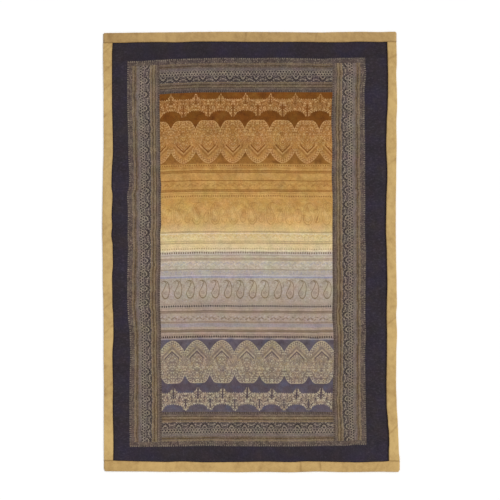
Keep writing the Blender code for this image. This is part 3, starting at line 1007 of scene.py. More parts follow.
def with_medallions(colour, u, depth, middle_at, flat_at, point_at, down, dyes, crisp):
    """Medallions side by side, flat at one end and pointed at the other, with chevrons inside.

    down is 1 where the points are at the foot, and -1 where they are at the top.
    """
    ink, pale, hollow, tinge = dyes
    # x is the distance aside from a medallion's middle, h runs towards its point and back to its flat end
    x = mirrored(u, REPEAT, middle_at)
    h = (depth - point_at) * down
    back = (depth - flat_at) * -down
    over = (x - MEDALLION_SHOULDER).most(0.0)
    flat_end = (back + over * over * 0.036 - MEDALLION_FLAT) / (over * 0.045 + 1.0)
    point_end = (h + x * x * 0.0140 + x * 0.08 - MEDALLION_TIP) / (x * 0.013 + 1.0)
    inside = (flat_end < 0.0) & (point_end < 0.0)
    upper = (back > -8.0) & inside
    lower = (h > 22.0) & inside

    # Two rows of beads follow each end, and chevrons fill the point
    flat_beads = (x * 0.46 - back * 0.30).reckon("SINE")
    point_beads = (x * 0.46 - h * 0.30).reckon("SINE")
    flat_rows = (within(flat_end, -10.5, -4.0) & upper, within(flat_end, -17.5, -11.5) & upper)
    point_rows = (within(point_end, -10.5, -4.0) & lower, within(point_end, -17.5, -11.5) & lower)
    beads = ((flat_beads > 0.1) & flat_rows[0]) | ((flat_beads < -0.1) & flat_rows[1])
    beads = beads | ((point_beads > 0.1) & point_rows[0]) | ((point_beads < -0.1) & point_rows[1])
    gaps = ((flat_beads < -0.2) & flat_rows[0]) | ((flat_beads > 0.2) & flat_rows[1])
    gaps = gaps | ((point_beads < -0.2) & point_rows[0]) | ((point_beads > 0.2) & point_rows[1])
    rim = (within(flat_end, -3.6, 0.0) & upper) | (within(point_end, -3.8, 0.0) & lower)
    ring = within(flat_end, -25.0, -21.5) & upper
    slope = h + x
    thin = within(slope, 35.5, 44.5) & (x < 34.0)
    thick = within(slope, 54.0, 66.5) & (x < 47.0)
    gleam = within(slope, 44.5, 53.0) & (x < 38.0)
    nested = ((slope * 0.50).reckon("SINE") > 0.3) & within(slope, -16.0, 35.0) & (x < 27.0)
    eyes = away(x - 16.5, back - 17.0)
    heart = away(x, back + 6.0)
    buds = within(eyes, 6.0, 9.0) | within(heart, 6.5, 10.0) | (heart < 3.0)

    # A rosette stands where two medallions meet
    seam = x * -1.0 + REPEAT / 2
    middle = away(seam, h + 16.0)
    rays = ((h + 16.0).reckon("ARCTAN2", seam) * 8.0).reckon("COSINE") > 0.1
    rosette = within(middle, 4.0, 7.0) | (within(middle, 9.5, 14.5) & rays)

    # The inks in the order of their printing: ground, lacework and flecks, then the drawn parts
    colour = printed(colour, dye(ink), (inside & worn(u, depth)) * 0.92)
    colour = printed(colour, dye(hollow), (upper & (flat_end < -8.0)) * 0.14)
    blotch = ((clouds(u, depth, 15.0, 35.0) - 0.52) * 6.0).most(0.0).least(1.0)
    colour = printed(colour, dye(tinge), (blotch & inside) * 0.34)
    crowded = inside & ((slope < 36.0) | (x > 40.0))
    colour = printed(colour, dye(hollow), (lacework(x, h) & crowded) * 0.24)
    throat = (x > 46.0) & within(h, -1.0, 21.0)
    crowded = crowded & (middle > 15.0) & (throat < 0.5)
    colour = printed(colour, dye(hollow), (lacework(x, h) & throat) * (0.42 * crisp))
    slipped = (x + u * SLIP_ACROSS, h + u * SLIP_ALONG)
    colour = speckled(colour, *slipped, crowded, pale, hollow, 7.8, 1.15 * crisp)
    colour = printed(colour, dye(hollow), (rosette & inside) * (0.62 * crisp))
    colour = printed(colour, dye(pale), (within(middle, 7.0, 9.5) | (middle < 4.0)) * 0.16)
    colour = printed(colour, dye(hollow), (nested & inside) * 0.26)
    colour = printed(colour, dye(hollow), (beads | ring) * (0.74 * crisp))
    colour = printed(colour, dye(pale), (gaps & worn(u, depth, 12.0)) * (0.54 * crisp))
    colour = printed(colour, dye(hollow), (buds & inside) * 0.50)
    colour = printed(colour, dye(pale), ((rim & inside) | (eyes < 4.5)) * 0.24)
    thick = thick & inside & worn(u, depth, 20.0)
    colour = printed(colour, dye(hollow), thick * (0.28 + 0.38 * crisp))
    colour = printed(colour, dye(pale), (gleam & inside & worn(u, depth, 14.0)) * 0.22)
    return printed(colour, dye(hollow), thin * 0.95)


def paisley(x, y, size):
    """How far places lie outside a paisley of that half width, whose tip curls left over its bulb."""
    x = x / size
    y = y / size
    rise = (y / 3.35).most(0.0).least(1.0)
    axis = (rise * 2.32).reckon("SINE") * 0.465
    half = (rise * (math.pi / 2)).reckon("COSINE") * 0.5 - rise * 0.47 + 0.5
    bulb = away(x, y.least(0.0) * 0.64) - 1.0 - (y > 0.0) * 9.0
    body = (abs(x - axis) - half).most(bulb).most(y - 3.0)
    outer = away(x + 0.30, y - 2.43) - 1.0
    inner = away(x + 0.60, y - 2.54) * -1.0 + 0.80
    hook = outer.most(inner).most(y * -1.0 + 2.8)
    return body.least(hook) * size


# The dyed and printed bands, each with its own print
#
# They are drawn in millimetres of the straight cloth: u across it from its middle, depth down from the
# top of the printed middle.

IN_MILLIMETRES = 1000.0
PAISLEY_PITCH = REPEAT / 2

# Bands whose ground took its dye in patches: a darker dye, another one, and how much they hide at most
UNEVEN_GROUNDS = {
    "brown lace": ("umber", "bronze", 0.8),
    "brown medallions": ("umber", "bronze", 0.8),
    "amber stripes": ("caramel", "light gold", 0.28),
    "plum medallions": ("damson", "slate", 0.7),
    "plum lace": ("damson", "slate", 0.7),
}


def uneven(colour, u, depth, darker, other, most):
    """A ground that took its dye in patches."""
    dark_patches = ((clouds(u, depth, 38.0, 31.0) - 0.48) * 3.2).most(0.0).least(most)
    other_patches = ((clouds(u, depth, 46.0, 33.0) - 0.50) * 3.2).most(0.0).least(most)
    colour = printed(colour, dye(darker), dark_patches)
    return printed(colour, dye(other), other_patches)


def band_print(number):
    """What is printed in one band of the middle, as a function of the place on the cloth."""
    top = (MIDDLE_TOP - BAND_LINES[number]) / MILLIMETRE
    bottom = (MIDDLE_TOP - BAND_LINES[number + 1]) / MILLIMETRE
    name = BANDS[number].name

    def draw(u, v):
        u, v = hand_printed(u, v)
        u = u * IN_MILLIMETRES
        depth = (v - MIDDLE_TOP) * -IN_MILLIMETRES
        colour = ground(depth)
        if name in UNEVEN_GROUNDS:
            colour = uneven(colour, u, depth, *UNEVEN_GROUNDS[name])
        colour = motifs[name](colour, u, depth) if name in motifs else colour
        colour = with_lines(colour, depth, LINES, top, bottom)
        return with_dots(colour, u, depth, top, bottom)

    return draw


def flower_strip(at, start, pale, ink, cover):
    """A strip of faint flowers, each with leaves on both sides, on a mottled ground."""

    def draw(colour, u, depth):
        x = repeated(u, PAISLEY_PITCH, start)
        y = depth - at
        near = abs(y) < 17.0
        leaves = leaf(x + 7.0, y - 3.0, -0.6, 9.5, 3.8) | leaf(x - 8.5, y + 0.5, 0.7, 9.0, 3.4)
        leaves = leaves | leaf(x - 24.0, y - 5.0, -0.5, 7.0, 2.8)
        leaves = leaves | leaf(x + 24.0, y + 5.0, 0.5, 6.5, 2.8)
        strokes = leaf(x - 1.0, y - 8.0, 0.3, 8.0, 2.8) | leaf(x + 17.0, y - 6.0, 0.8, 8.0, 2.6)
        strokes = strokes | leaf(x - 16.0, y + 7.0, -0.6, 8.0, 2.6)
        strokes = strokes | leaf(x + 1.0, y + 8.0, -0.5, 6.0, 3.0)
        spots = flecks(u, depth, 8.0, 8.0)
        took = worn(u, depth, 18.0)
        colour = printed(colour, dye(pale), ((strokes | (spots < 0.28)) & near & took) * (cover * 0.8))
        colour = printed(colour, dye(ink), ((spots > 0.78) & near & took) * (cover * 0.7))
        return printed(colour, dye(ink), (leaves & near & took) * (cover * 1.2))

    return draw


upper_sprigs = flower_strip(817.0, 4.0, "pale", "blue grey", 0.38)
lower_sprigs = flower_strip(832.0, -24.0, "pale", "taupe", 0.34)


def grey_sprigs(colour, u, depth):
    """Two rows of faint sprigs, and a mottled blue strip below them."""
    colour = lower_sprigs(upper_sprigs(colour, u, depth), u, depth)
    mottled = (flecks(u, depth, 9.0, 20.0) < 0.42) & within(depth, 849.0, 873.0)
    return printed(colour, dye("blue grey"), mottled * 0.42)


def paisley_strip(colour, u, depth):
    """The row of outlined paisleys, each with a flower at its heart, on a ground with pale flecks."""
    x = repeated(u, PAISLEY_PITCH, 13.0)
    y = depth * -1.0 + 956.0
    edge = paisley(x, y, 17.0)
    heart = away(x + 0.5, y)
    petals = heart / (((y.reckon("ARCTAN2", x + 0.5)) * 5.0).reckon("COSINE") * 0.25 + 1.0)
    spots = flecks(u, depth, 9.0, 8.0)
    near = within(depth, 884.0, 1000.0)
    took = worn(u, depth, 16.0)
    between = leaf(x + 14.0, y - 47.0, 0.5, 6.0, 4.0) | leaf(x - 27.0, y - 30.0, 1.2, 9.0, 3.0)
    colour = printed(colour, dye("lilac"), ((spots < 0.30) & near & (edge > 3.0)) * 0.40)
    colour = printed(colour, dye("coffee"), ((spots > 0.72) & near) * 0.22)
    colour = printed(colour, dye("coffee"), (between & took) * 0.34)
    colour = printed(colour, dye("ochre"), (edge < -2.0) * 0.06)
    colour = printed(colour, dye("rose beige"), within(edge, -7.0, -2.0) * 0.16)
    colour = printed(colour, dye("coffee"), ((within(petals, 4.6, 7.6) | (petals < 2.2)) & took) * 0.50)
    return printed(colour, dye("olive brown"), (abs(edge) < 1.9) * 0.74)


LARGE_PAISLEY_PITCH = 0.75 * REPEAT


def gold_strip(colour, u, depth):
    """Large paisleys printed tone on tone on the gold ground, and painted shade along the small fold in
    it.
    """
    x = repeated(u, LARGE_PAISLEY_PITCH, 10.0)
    y = depth * -1.0 + 598.0
    edge = paisley(x * -1.0, y, 21.0)
    small = paisley(repeated(u, LARGE_PAISLEY_PITCH, 54.0), y + 3.0, 13.0)
    lines = (abs(edge) < 2.0) | within(edge, -9.5, -7.0) | (abs(small) < 1.8)
    near = within(depth, 515.0, 650.0)
    spots = flecks(u, depth, 10.0, 8.0)
    took = worn(u, depth, 40.0)
    deep = (clouds(u, depth, 40.0, 12.0, 3.0) - 0.40).most(0.0) * 3.8
    light = (clouds(u, depth, 34.0, 17.0, 3.0) - 0.50).most(0.0) * 2.6
    reach = (abs(depth - 560.0) / -75.0 + 1.0).most(0.0)
    colour = printed(colour, dye("amber"), (deep.least(1.0) & reach) * 0.85)
    colour = printed(colour, dye("straw"), (light.least(1.0) & near) * 0.50)
    bright = within(edge, 2.0, 5.5) | (edge < -10.0) | (spots < 0.30)
    colour = printed(colour, dye("straw"), bright * 0.16)
    colour = printed(colour, dye("toffee"), ((spots > 0.74) & near & took) * 0.20)
    colour = printed(colour, dye("toffee"), (lines & took & near) * 0.34)
    # Painted shade along the small fold that the face is raised in here
    crease = (oval(u - 322.0, depth - 600.0, 1.86, 27.0, 4.6) * -1.0 + 1.0).most(0.0)
    return printed(colour, dye("chestnut"), crease.reckon("POWER", 0.7) * 0.80)


def brown_lace(colour, u, depth):
    return with_lace(colour, u, depth, 59.5, -373.5, 1.0, "lace gold", "pale gold", "walnut", 1.05)


def brown_medallions(colour, u, depth):
    colours = ("medallion gold", "pale gold", "chestnut", "light gold")
    return with_medallions(colour, u, depth, -317.0, 192.5, 245.2, 1.0, colours, 0.70)


def plum_medallions(colour, u, depth):
    colours = ("lace beige", "pale beige", "lace plum", "ochre")
    return with_medallions(colour, u, depth, -374.0, 1331.0, 1277.8, -1.0, colours, 0.92)


def plum_lace(colour, u, depth):
    return with_lace(colour, u, depth, 1462.5, -313.0, -1.0, "lace beige", "pale beige", "damson", 1.25)


motifs = {
    "brown lace": brown_lace,
    "brown medallions": brown_medallions,
    "amber stripes": flower_strip(441.5, 10.0, "light gold", "toffee", 0.34),
    "gold ground": gold_strip,
    "cream sprigs": flower_strip(685.0, 0.0, "pale", "amber", 0.26),
    "grey sprigs": grey_sprigs,
    "paisley row": paisley_strip,
    "beige stripes": flower_strip(1078.0, -9.0, "lilac", "coffee", 0.46),
    "plum medallions": plum_medallions,
    "plum lace": plum_lace,
}

# The printed border
#
# The same rows of line work run round all four sides, beige on a dark ground: teeth and small dots
# outside, plain lines, a chain of rings, a row of chevrons and more lines, with dark dots against the
# middle. Distances are millimetres in from its outer edge, on a border of its usual depth.

BORDER_DEPTH = 158.0
TOOTH_PITCH = 9.8
RING_PITCH = 13.4
INNER_DOT_PITCH = 10.8
BORDER_LINES = (
    Line(5, 14, "border beige", 0.40),
    Line(14, 23, "border beige", 0.52),
    Line(23.5, 31, "border straw", 0.62),
    Line(31, 34, "border beige", 0.55),
    Line(34, 40, "border olive", 0.85),
    Line(40, 47, "border beige", 0.66),
    Line(47, 56, "border lilac", 0.80),
    Line(56, 82, "border lilac", 0.40),
    Line(82, 110.5, "border lilac", 0.58),
    Line(111, 116.5, "border straw", 0.70),
    Line(116.5, 120, "border beige", 0.74),
    Line(120, 125.5, "border olive", 0.90),
    Line(126, 134, "border straw", 0.66),
    Line(134.5, 138, "border olive", 0.65),
    Line(138.5, 143.5, "border beige", 0.84),
    Line(143.5, 158, "border beige", 0.50),
)

# How far apart the chevrons stand on the side strips and on the end strips, and where one of them stands
SIDE_CHEVRONS = (66.5, -35.8)
END_CHEVRONS = (63.3, 31.6)
SIDE_CRINKLE = 14.0
END_CRINKLE = 4.0


def border_print(side_strips):
    """What is printed on the border: the side strips run along the cloth, the end strips across it."""

    def draw(u, v):
        u, v = hand_printed(u, v)
        if side_strips:
            along = v * IN_MILLIMETRES
            from_left = (u - LEFT_TEETH) * (BORDER_DEPTH / (MIDDLE_LEFT - LEFT_TEETH))
            from_right = (u - RIGHT_TEETH) * (-BORDER_DEPTH / (RIGHT_TEETH - MIDDLE_RIGHT))
            depth = from_left.least(from_right)
        else:
            along = u * IN_MILLIMETRES
            from_top = (v - TOP_TEETH) * (-BORDER_DEPTH / (TOP_TEETH - MIDDLE_TOP))
            from_bottom = (v - BOTTOM_TEETH) * (BORDER_DEPTH / (MIDDLE_BOTTOM - BOTTOM_TEETH))
            depth = from_top.least(from_bottom)
        along = along + (clouds(along, depth, 55.0, 41.0) - 0.5) * 9.0
        clear = (depth / 30.0).least((depth - BORDER_DEPTH) / -30.0).least(1.0).most(0.0)
        crinkle = SIDE_CRINKLE if side_strips else END_CRINKLE
        crinkled = (clouds(along, depth * 0.3, 38.0, 44.0) - 0.5) * crinkle
        depth = depth + crinkled * clear
        colour = with_lines(dye("border ground"), depth, BORDER_LINES, 0.0, BORDER_DEPTH)
        if not side_strips:
            colour = printed(colour, dye("night"), (v > 0.0) * 0.26)
        wear = ((clouds(along, depth, 22.0, 6.0) * 2.4) - 0.45).most(0.15).least(1.0)
        spots = flecks(along, depth, 6.8, 4.0)
        busy = ((depth < 24.0) | within(depth, 56.0, 110.0)) * 0.22 + 0.26
        colour = printed(colour, dye("border pale"), (spots < 0.30) * busy)
        colour = printed(colour, dye("black dot"), (spots > 0.68) * busy)
        lighter = ((clouds(along, depth * 1.5, 75.0, 42.0) - 0.5) * 3.0).most(0.0).least(1.0)
        darker = ((clouds(along, depth * 1.5, 60.0, 43.0) - 0.5) * 3.0).most(0.0).least(1.0)
        colour = printed(colour, dye("border pale"), lighter * 0.18)
        colour = printed(colour, dye("border ground"), darker * 0.32)

        # Teeth, and two rows of small dots behind them
        tooth = mirrored(along, TOOTH_PITCH)
        colour = printed(colour, dye("night"), (depth < 2.0) * 0.9)
        teeth = (tooth < 2.3) & within(depth, 0.0, 6.5) & wear
        colour = printed(colour, dye("border pale"), teeth * 0.44)
        between = (tooth > 2.6) & (within(depth, 6.5, 12.0) | within(depth, 15.5, 21.0)) & wear
        colour = printed(colour, dye("border ground"), between * 0.50)

        # A chain of rings in two rows, each half a ring on from the other
        ring = away(repeated(along, RING_PITCH), depth - 64.0)
        ring = ring.least(away(repeated(along, RING_PITCH, RING_PITCH / 2), depth - 75.0))
        chain = within(depth, 56.5, 82.0)
        colour = printed(colour, dye("border pale"), (within(ring, 4.2, 6.8) & chain & wear) * 0.52)
        colour = printed(colour, dye("black dot"), ((ring < 3.5) & chain) * 0.78)

        # Dark chevrons that point at the middle, with light flecks in and between them
        x = mirrored(along, *(SIDE_CHEVRONS if side_strips else END_CHEVRONS))
        chevron = depth + x
        row = within(depth, 83.0, 110.5)
        grains = flecks(x, depth, 6.6, 4.0)
        light = ((within(chevron, 94.5, 101.0) & (x < 13.0)) * 0.55) | (grains < 0.36)
        dark = (within(chevron, 102.5, 109.0) & (x < 15.0)) | (within(chevron, 88.0, 92.5) & (x < 6.0))
        took = (wear * 1.4 + 0.2).least(1.0)
        colour = printed(colour, dye("black dot"), ((grains > 0.58) & row) * 0.56)
        colour = printed(colour, dye("border pale"), (light & row & took) * 0.56)
        colour = printed(colour, dye("black dot"), (dark & row & took) * 0.74)

        # Dark dots against the middle
        dot = (mirrored(along, INNER_DOT_PITCH) < 2.3) & within(depth, 150.0, 158.5)
        return printed(colour, dye("black dot"), dot * 0.52)

    return draw


def plain_backing(u, v):
    return dye("backing")


# How far the shadow painted beside each strip reaches over the margin
DITCH_SHADE_RIGHT = 0.0110
DITCH_SHADE_LEFT = 0.0075
DITCH_SHADE_ENDS = 0.0050


def dark_margin(u, v):
    """Dyed dark once over, more violet or browner from place to place, darker along the top end, with
    lighter streaks painted as the sheen of fine wrinkles and painted shadow along the strips.
    """
    violet = (clouds(u, v, 0.130, 15.0, 2.0) - 0.42).most(0.0) * 3.5
    brown = (clouds(u, v, 0.090, 16.0, 3.0) - 0.48).most(0.0) * 3.5
    colour = printed(dye("night"), dye("night violet"), violet.least(1.0))
    colour = printed(colour, dye("night brown"), brown.least(1.0))
    # Lighter streaks painted as the sheen of fine wrinkles, across the side strips and along the end
    # strips
    across_sides = (clouds(u * 0.6, v, 0.008, 19.0, 3.0) - 0.50).most(0.0)
    along_ends = (clouds(u, v * 0.6, 0.008, 20.0, 3.0) - 0.50).most(0.0)
    on_sides = (u < LEFT_TEETH) | (u > RIGHT_TEETH)
    painted_sheen_streaks = across_sides * on_sides + along_ends * (on_sides * -0.6 + 0.6)
    colour = printed(colour, dye("night haze"), (painted_sheen_streaks * 1.2).least(1.0))
    right = ((u - (RIGHT_SEAM - DITCH_SHADE_RIGHT)) / (DITCH_SHADE_RIGHT - DITCH)).most(0.0).least(1.0)
    left = ((u - (LEFT_SEAM + DITCH_SHADE_LEFT)) / (DITCH - DITCH_SHADE_LEFT)).most(0.0).least(1.0)
    top = ((v - (TOP_SEAM - DITCH_SHADE_ENDS)) / (DITCH_SHADE_ENDS - DITCH)).most(0.0).least(1.0)
    bottom = ((v - (BOTTOM_SEAM + DITCH_SHADE_ENDS)) / (DITCH - DITCH_SHADE_ENDS)).most(0.0).least(1.0)
    # Darker along the top end of the margin
    colour = printed(colour, dye("ditch"), (v > TOP_TEETH) * 0.12)
    # Painted shadow beside the strips, deepest on the right, where they stand above the margin
    return printed(colour, dye("ditch"), (right * 0.95) | (left * 0.75) | ((top | bottom) * 0.50))


materials = [
    cotton_material("dark margin cotton", dark_margin),
    cotton_material("side border cotton", border_print(True)),
    cotton_material("end border cotton", border_print(False)),
    cotton_material("backing cotton", plain_backing),
]
MARGIN_COTTON, SIDE_BORDER, END_BORDER, BACKING, FIRST_BAND = range(5)
for number, band in enumerate(BANDS):
    materials.append(cotton_material(band.name + " cotton", band_print(number)))
for material in materials:
    quilt_mesh.materials.append(material)

across, along, up = face_middles.T
in_print = (across > LEFT_TEETH) & (across < RIGHT_TEETH) & (along > BOTTOM_TEETH) & (along < TOP_TEETH)
in_columns = (across > MIDDLE_LEFT) & (across < MIDDLE_RIGHT)
end_rows = (along > TOP_TEETH - CORNER_ROWS) | (along < BOTTOM_TEETH + CORNER_ROWS)
in_middle = in_columns & (along > MIDDLE_BOTTOM) & (along < MIDDLE_TOP)
face_materials = np.where(in_print & (in_columns | end_rows), END_BORDER, MARGIN_COTTON)
face_materials = np.where(in_print & ~in_columns & ~end_rows, SIDE_BORDER, face_materials)
band_numbers = np.clip(len(BANDS) - np.searchsorted(BAND_LINES[::-1], along), 0, len(BANDS) - 1)
face_materials = np.where(in_middle, FIRST_BAND + band_numbers, face_materials)
face_materials = np.where(up < 0.75 * MILLIMETRE, BACKING, face_materials)
quilt_mesh.polygons.foreach_set("material_index", face_materials.astype(np.int32))
quilt_mesh.update()

# The binding
#
# A strip of tan cotton satin, about a hand's width wide before folding, is folded over each raw edge
# and sewn down on both sides. The top and bottom strips run the full width, and the side strips end
# against them.

BINDING_CLOTH = 0.0010
BINDING_HEIGHT = 0.0050
BINDING_PUFF = 0.0014
JOINT_GAP = 0.0004
CLOSED_END = 0.0045
TOP_ROUNDING = 0.005
BOTTOM_ROUNDING = 0.010
END_SEAM = 0.0035
ALONG_CELL = 0.0055
TOP_STEPS = 12
FOLD_STEPS = 6
UNDER_STEPS = 4
SATIN_RIB = 0.0018
SEAM_SHADE = 0.006

# Creases that the satin was folded with: place along the strip, lean, half width and depth. The depth
# also
# # sets how dark the crease is painted as shade.
Crease = namedtuple("Crease", "along lean wide deep")
CREASES = {
    "binding_left": (
        Crease(0.990, -0.8, 0.004, 0.0007),
        Crease(0.968, -0.9, 0.004, 0.0009),
        Crease(0.878, -0.9, 0.004, 0.0009),
        Crease(0.792, -0.8, 0.004, 0.0009),
        Crease(0.663, -0.8, 0.004, 0.0008),
        Crease(0.410, -0.9, 0.005, 0.0006),
        Crease(0.120, -0.8, 0.005, 0.0006),
        Crease(-0.254, -0.8, 0.004, 0.0008),
        Crease(-0.368, -0.9, 0.004, 0.0009),
        Crease(-0.640, -0.8, 0.005, 0.0007),
    ),
    "binding_right": (
        Crease(0.930, 0.5, 0.006, 0.0008),
        Crease(0.430, 0.7, 0.005, 0.0006),
        Crease(-0.330, 0.7, 0.005, 0.0006),
        Crease(-0.850, 0.9, 0.004, 0.0010),
    ),
    "binding_top": (
        Crease(-0.026, 0.1, 0.004, 0.0009),
        Crease(0.310, 0.2, 0.004, 0.0007),
    ),
    "binding_bottom": (
        Crease(0.237, 0.1, 0.004, 0.0010),
        Crease(0.331, 0.1, 0.004, 0.0010),
        Crease(0.600, -0.6, 0.004, 0.0006),
    ),
}


def satin_material(name, light, dark):
    """Tan satin: fine ribs across the strip and a soft sheen, with painted shade in its creases and along
    its sewn edge.
    """
    material, tree, shader = cloth_material(name, 0.35, 0.20)
    shader.inputs["Sheen Roughness"].default_value = 0.4
    along, across = print_place(tree)
    cloudy = clouds(along, across, 0.030, 3.0, 3.0)
    streak = clouds(along * 0.25, across, 0.0025, 4.0, 1.0)
    rib = (along * (2 * math.pi / SATIN_RIB)).reckon("SINE")
    # Painted shade along the sewn inner edge of the strip
    inner = (across / SEAM_SHADE * -1.0 + 1.0).most(0.0)
    broad = clouds(along, across, 0.250, 6.0, 1.0)
    # The Fold attribute carries painted shade: the creases, the dips of the satin and the butted ends
    fold = tree.nodes.new("ShaderNodeAttribute")
    fold.attribute_name = "Fold"
    folded = Field(tree, fold.outputs["Fac"])
    patchy = (cloudy - 0.5) * 1.5 + (broad - 0.5) * 1.5 + (streak - 0.5) * 0.8
    tone = folded * -1.1 + patchy + rib * 0.03 - inner * 0.35 + 0.80
    colour = printed(dye(dark), dye(light), tone.most(0.0).least(1.0))
    tree.links.new(colour, shader.inputs["Base Color"])
    tree.links.new((cloudy * 0.20 + 0.44).socket, shader.inputs["Roughness"])
    raised(cloudy * 0.0040 + rib * 0.00006 + streak * 0.0005, shader.inputs["Normal"])
    return material


satin = satin_material("tan satin", "satin", "dark satin")
warm_satin = satin_material("warm tan satin", "warm satin", "dark warm satin")
shaded_satin = satin_material("shaded tan satin", "shaded satin", "dark shaded satin")

# Each edge's satin, whether it runs along the throw, its fold and seam, and how round its corners are
Edge = namedtuple("Edge", "material upright fold seam rounding")
EDGES = {
    "binding_left": Edge(satin, True, -WIDTH / 2, LEFT_SEAM, 0.0),
    "binding_right": Edge(satin, True, WIDTH / 2, RIGHT_SEAM, 0.0),
    "binding_top": Edge(shaded_satin, False, LENGTH / 2, TOP_SEAM, TOP_ROUNDING),
    "binding_bottom": Edge(warm_satin, False, -LENGTH / 2, BOTTOM_SEAM, BOTTOM_ROUNDING),
}

# Where the row of stitches along each strip's inner edge runs
seam_rows = {}


def strip_profile():
    """Places round the folded strip, inner edge to fold to underside: share across, and height share."""
    top = [(share, 1.0, 0.0) for share in np.linspace(0, 1, TOP_STEPS)]
    turns = np.linspace(0, math.pi, FOLD_STEPS + 2)[1:-1]
    fold = [(1.0, math.cos(turn), math.sin(turn)) for turn in turns]
    under = [(share, -1.0, 0.0) for share in np.linspace(1, 0, UNDER_STEPS)]
    return np.array(top + fold + under)


def fold_strip(name, edge, places, fold, seam):
    """Makes one folded strip between its fold and its seam. Ends with a rounding are closed corners."""
    closed_ends = edge.rounding > 0
    profile = strip_profile()
    share, lift, bulge = (column[None, :] for column in profile.T)
    along = places[:, None]
    fold_at = fold[:, None]
    seam_at = seam[:, None]
    outward = np.sign(fold_at - seam_at)
    width = abs(fold_at - seam_at)
    from_end = np.minimum(along - places[0], places[-1] - along)
    if closed_ends:
        in_corner = np.clip(1 - from_end / edge.rounding, 0, 1)
        fold_at = fold_at - outward * edge.rounding * (1 - np.sqrt(1 - in_corner**2))
        width = abs(fold_at - seam_at)
    fullness = np.ones_like(from_end)
    if closed_ends:
        ease = np.clip(from_end / CLOSED_END, 0, 1)
        fullness = 0.30 + 0.70 * np.sqrt(ease)
    top_middle = BINDING_HEIGHT - BINDING_CLOTH / 2
    under_middle = BINDING_CLOTH / 2
    round_size = (top_middle - under_middle) / 2 * fullness
    from_fold = round_size + BINDING_CLOTH / 2
    across = seam_at + outward * (share * (width - from_fold) + bulge * round_size)
    height = under_middle + round_size * (1 + lift)
    # The top layer is full between its sewn edge and its fold, creased and puckered
    on_top = (lift > 0.5) * np.sin(np.pi * np.clip(share * 0.9 + 0.05, 0, 1)) * fullness
    from_seam = share * width
    puff = 0.62 + 0.38 * ripple(along, across, 0.045, 0.60, 31)
    puckers = ripple(along, across, 0.011, 0.08, 32) * np.exp(-from_seam / 0.009)
    swell = BINDING_PUFF * puff + 0.0005 * puckers + 0.0004 * ripple(along, across, 0.020, 0.025, 33)
    # Painted shade for the satin's colour: darker in its dips, near the butted ends of the side strips,
    # and in each crease
    painted_fold_shade = 0.45 * np.clip(-ripple(along, across, 0.020, 0.025, 33) - 0.3, 0, 1)
    if not closed_ends:
        painted_fold_shade = painted_fold_shade + 0.9 * np.exp(-from_end / END_SEAM)
    for crease in CREASES[name]:
        off = along - crease.along - crease.lean * (from_seam - width / 2)
        valley = np.exp(-((off / crease.wide) ** 2))
        swell = swell - crease.deep * valley
        painted_fold_shade = painted_fold_shade + crease.deep / 0.0016 * valley
    height = height + on_top * np.maximum(swell, -0.0003)

    count = profile.shape[0]
    bm = bmesh.new()
    bmesh.ops.create_grid(bm, x_segments=len(places) - 1, y_segments=count - 1, size=0.5)
    mesh = bpy.data.meshes.new(name + "_satin")
    bm.to_mesh(mesh)
    bm.free()
    flat = read_points(mesh.vertices, "co", 3)
    step = np.rint((flat[:, 0] + 0.5) * (len(places) - 1)).astype(int)
    ring = np.rint((flat[:, 1] + 0.5) * (count - 1)).astype(int)
    along_points = np.broadcast_to(along, across.shape)[step, ring]
    across_points = across[step, ring]
    pair = (across_points, along_points) if edge.upright else (along_points, across_points)
    points = np.stack([pair[0], pair[1], height[step, ring]], 1)
    mesh.vertices.foreach_set("co", points.astype(np.float32).ravel())
    edge_rows = [points[ring == number][np.argsort(step[ring == number])] for number in (0, 1)]
    seam_rows[name] = (edge_rows[0] + edge_rows[1]) / 2 + np.array([0.0, 0.0, BINDING_CLOTH / 2])
    around = np.concatenate([[0], np.cumsum(np.hypot(np.diff(across[0]), np.diff(height[0])))])
    add_print_uv(mesh, np.stack([along_points, around[ring]], 1))
    # The Fold attribute keeps that painted shade for the satin material
    shade = mesh.attributes.new("Fold", "FLOAT", "POINT")
    shade.data.foreach_set("value", (painted_fold_shade * (lift > 0.5))[step, ring].astype(np.float32))
    mesh.materials.append(edge.material)
    mesh.shade_smooth()
    strip = bpy.data.objects.new(name + "_satin", mesh)
    bpy.context.scene.collection.objects.link(strip)
    thickness = strip.modifiers.new("cloth thickness", "SOLIDIFY")
    thickness.thickness = BINDING_CLOTH
    thickness.offset = 0.0
    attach(strip, "root")
    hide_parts(name)
    return strip


def line_across(straight_u, places):
    """Where a line along the cloth lies across it, read at places along the throw."""
    x, y = laid(np.full(len(rows), straight_u), rows)
    return np.interp(places, y, x)


def line_along(straight_v, places):
    """Where a line across the cloth lies along it, read at places across the throw."""
    x, y = laid(columns, np.full(len(columns), straight_v))
    return np.interp(places, x, y)


for name, edge in EDGES.items():
    low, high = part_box(name)
    axis = 1 if edge.upright else 0
    spare = JOINT_GAP / 2 if edge.upright else 0.0
    places = graded((low[axis] - spare, high[axis] + spare), ALONG_CELL)
    line_at = line_across if edge.upright else line_along
    fold_strip(name, edge, places, line_at(edge.fold, places), line_at(edge.seam, places))

# The stitches
#
# Small running stitches hold the layers together along the printed lines, in thread of the print's own
# tones. A row of machine stitches runs just in from the sewn edge of each satin strip.

STITCH_PITCH = 0.0048
STITCH_LENGTH = 0.0034
THREAD = 0.0005
STITCH_STRAY = 0.00015


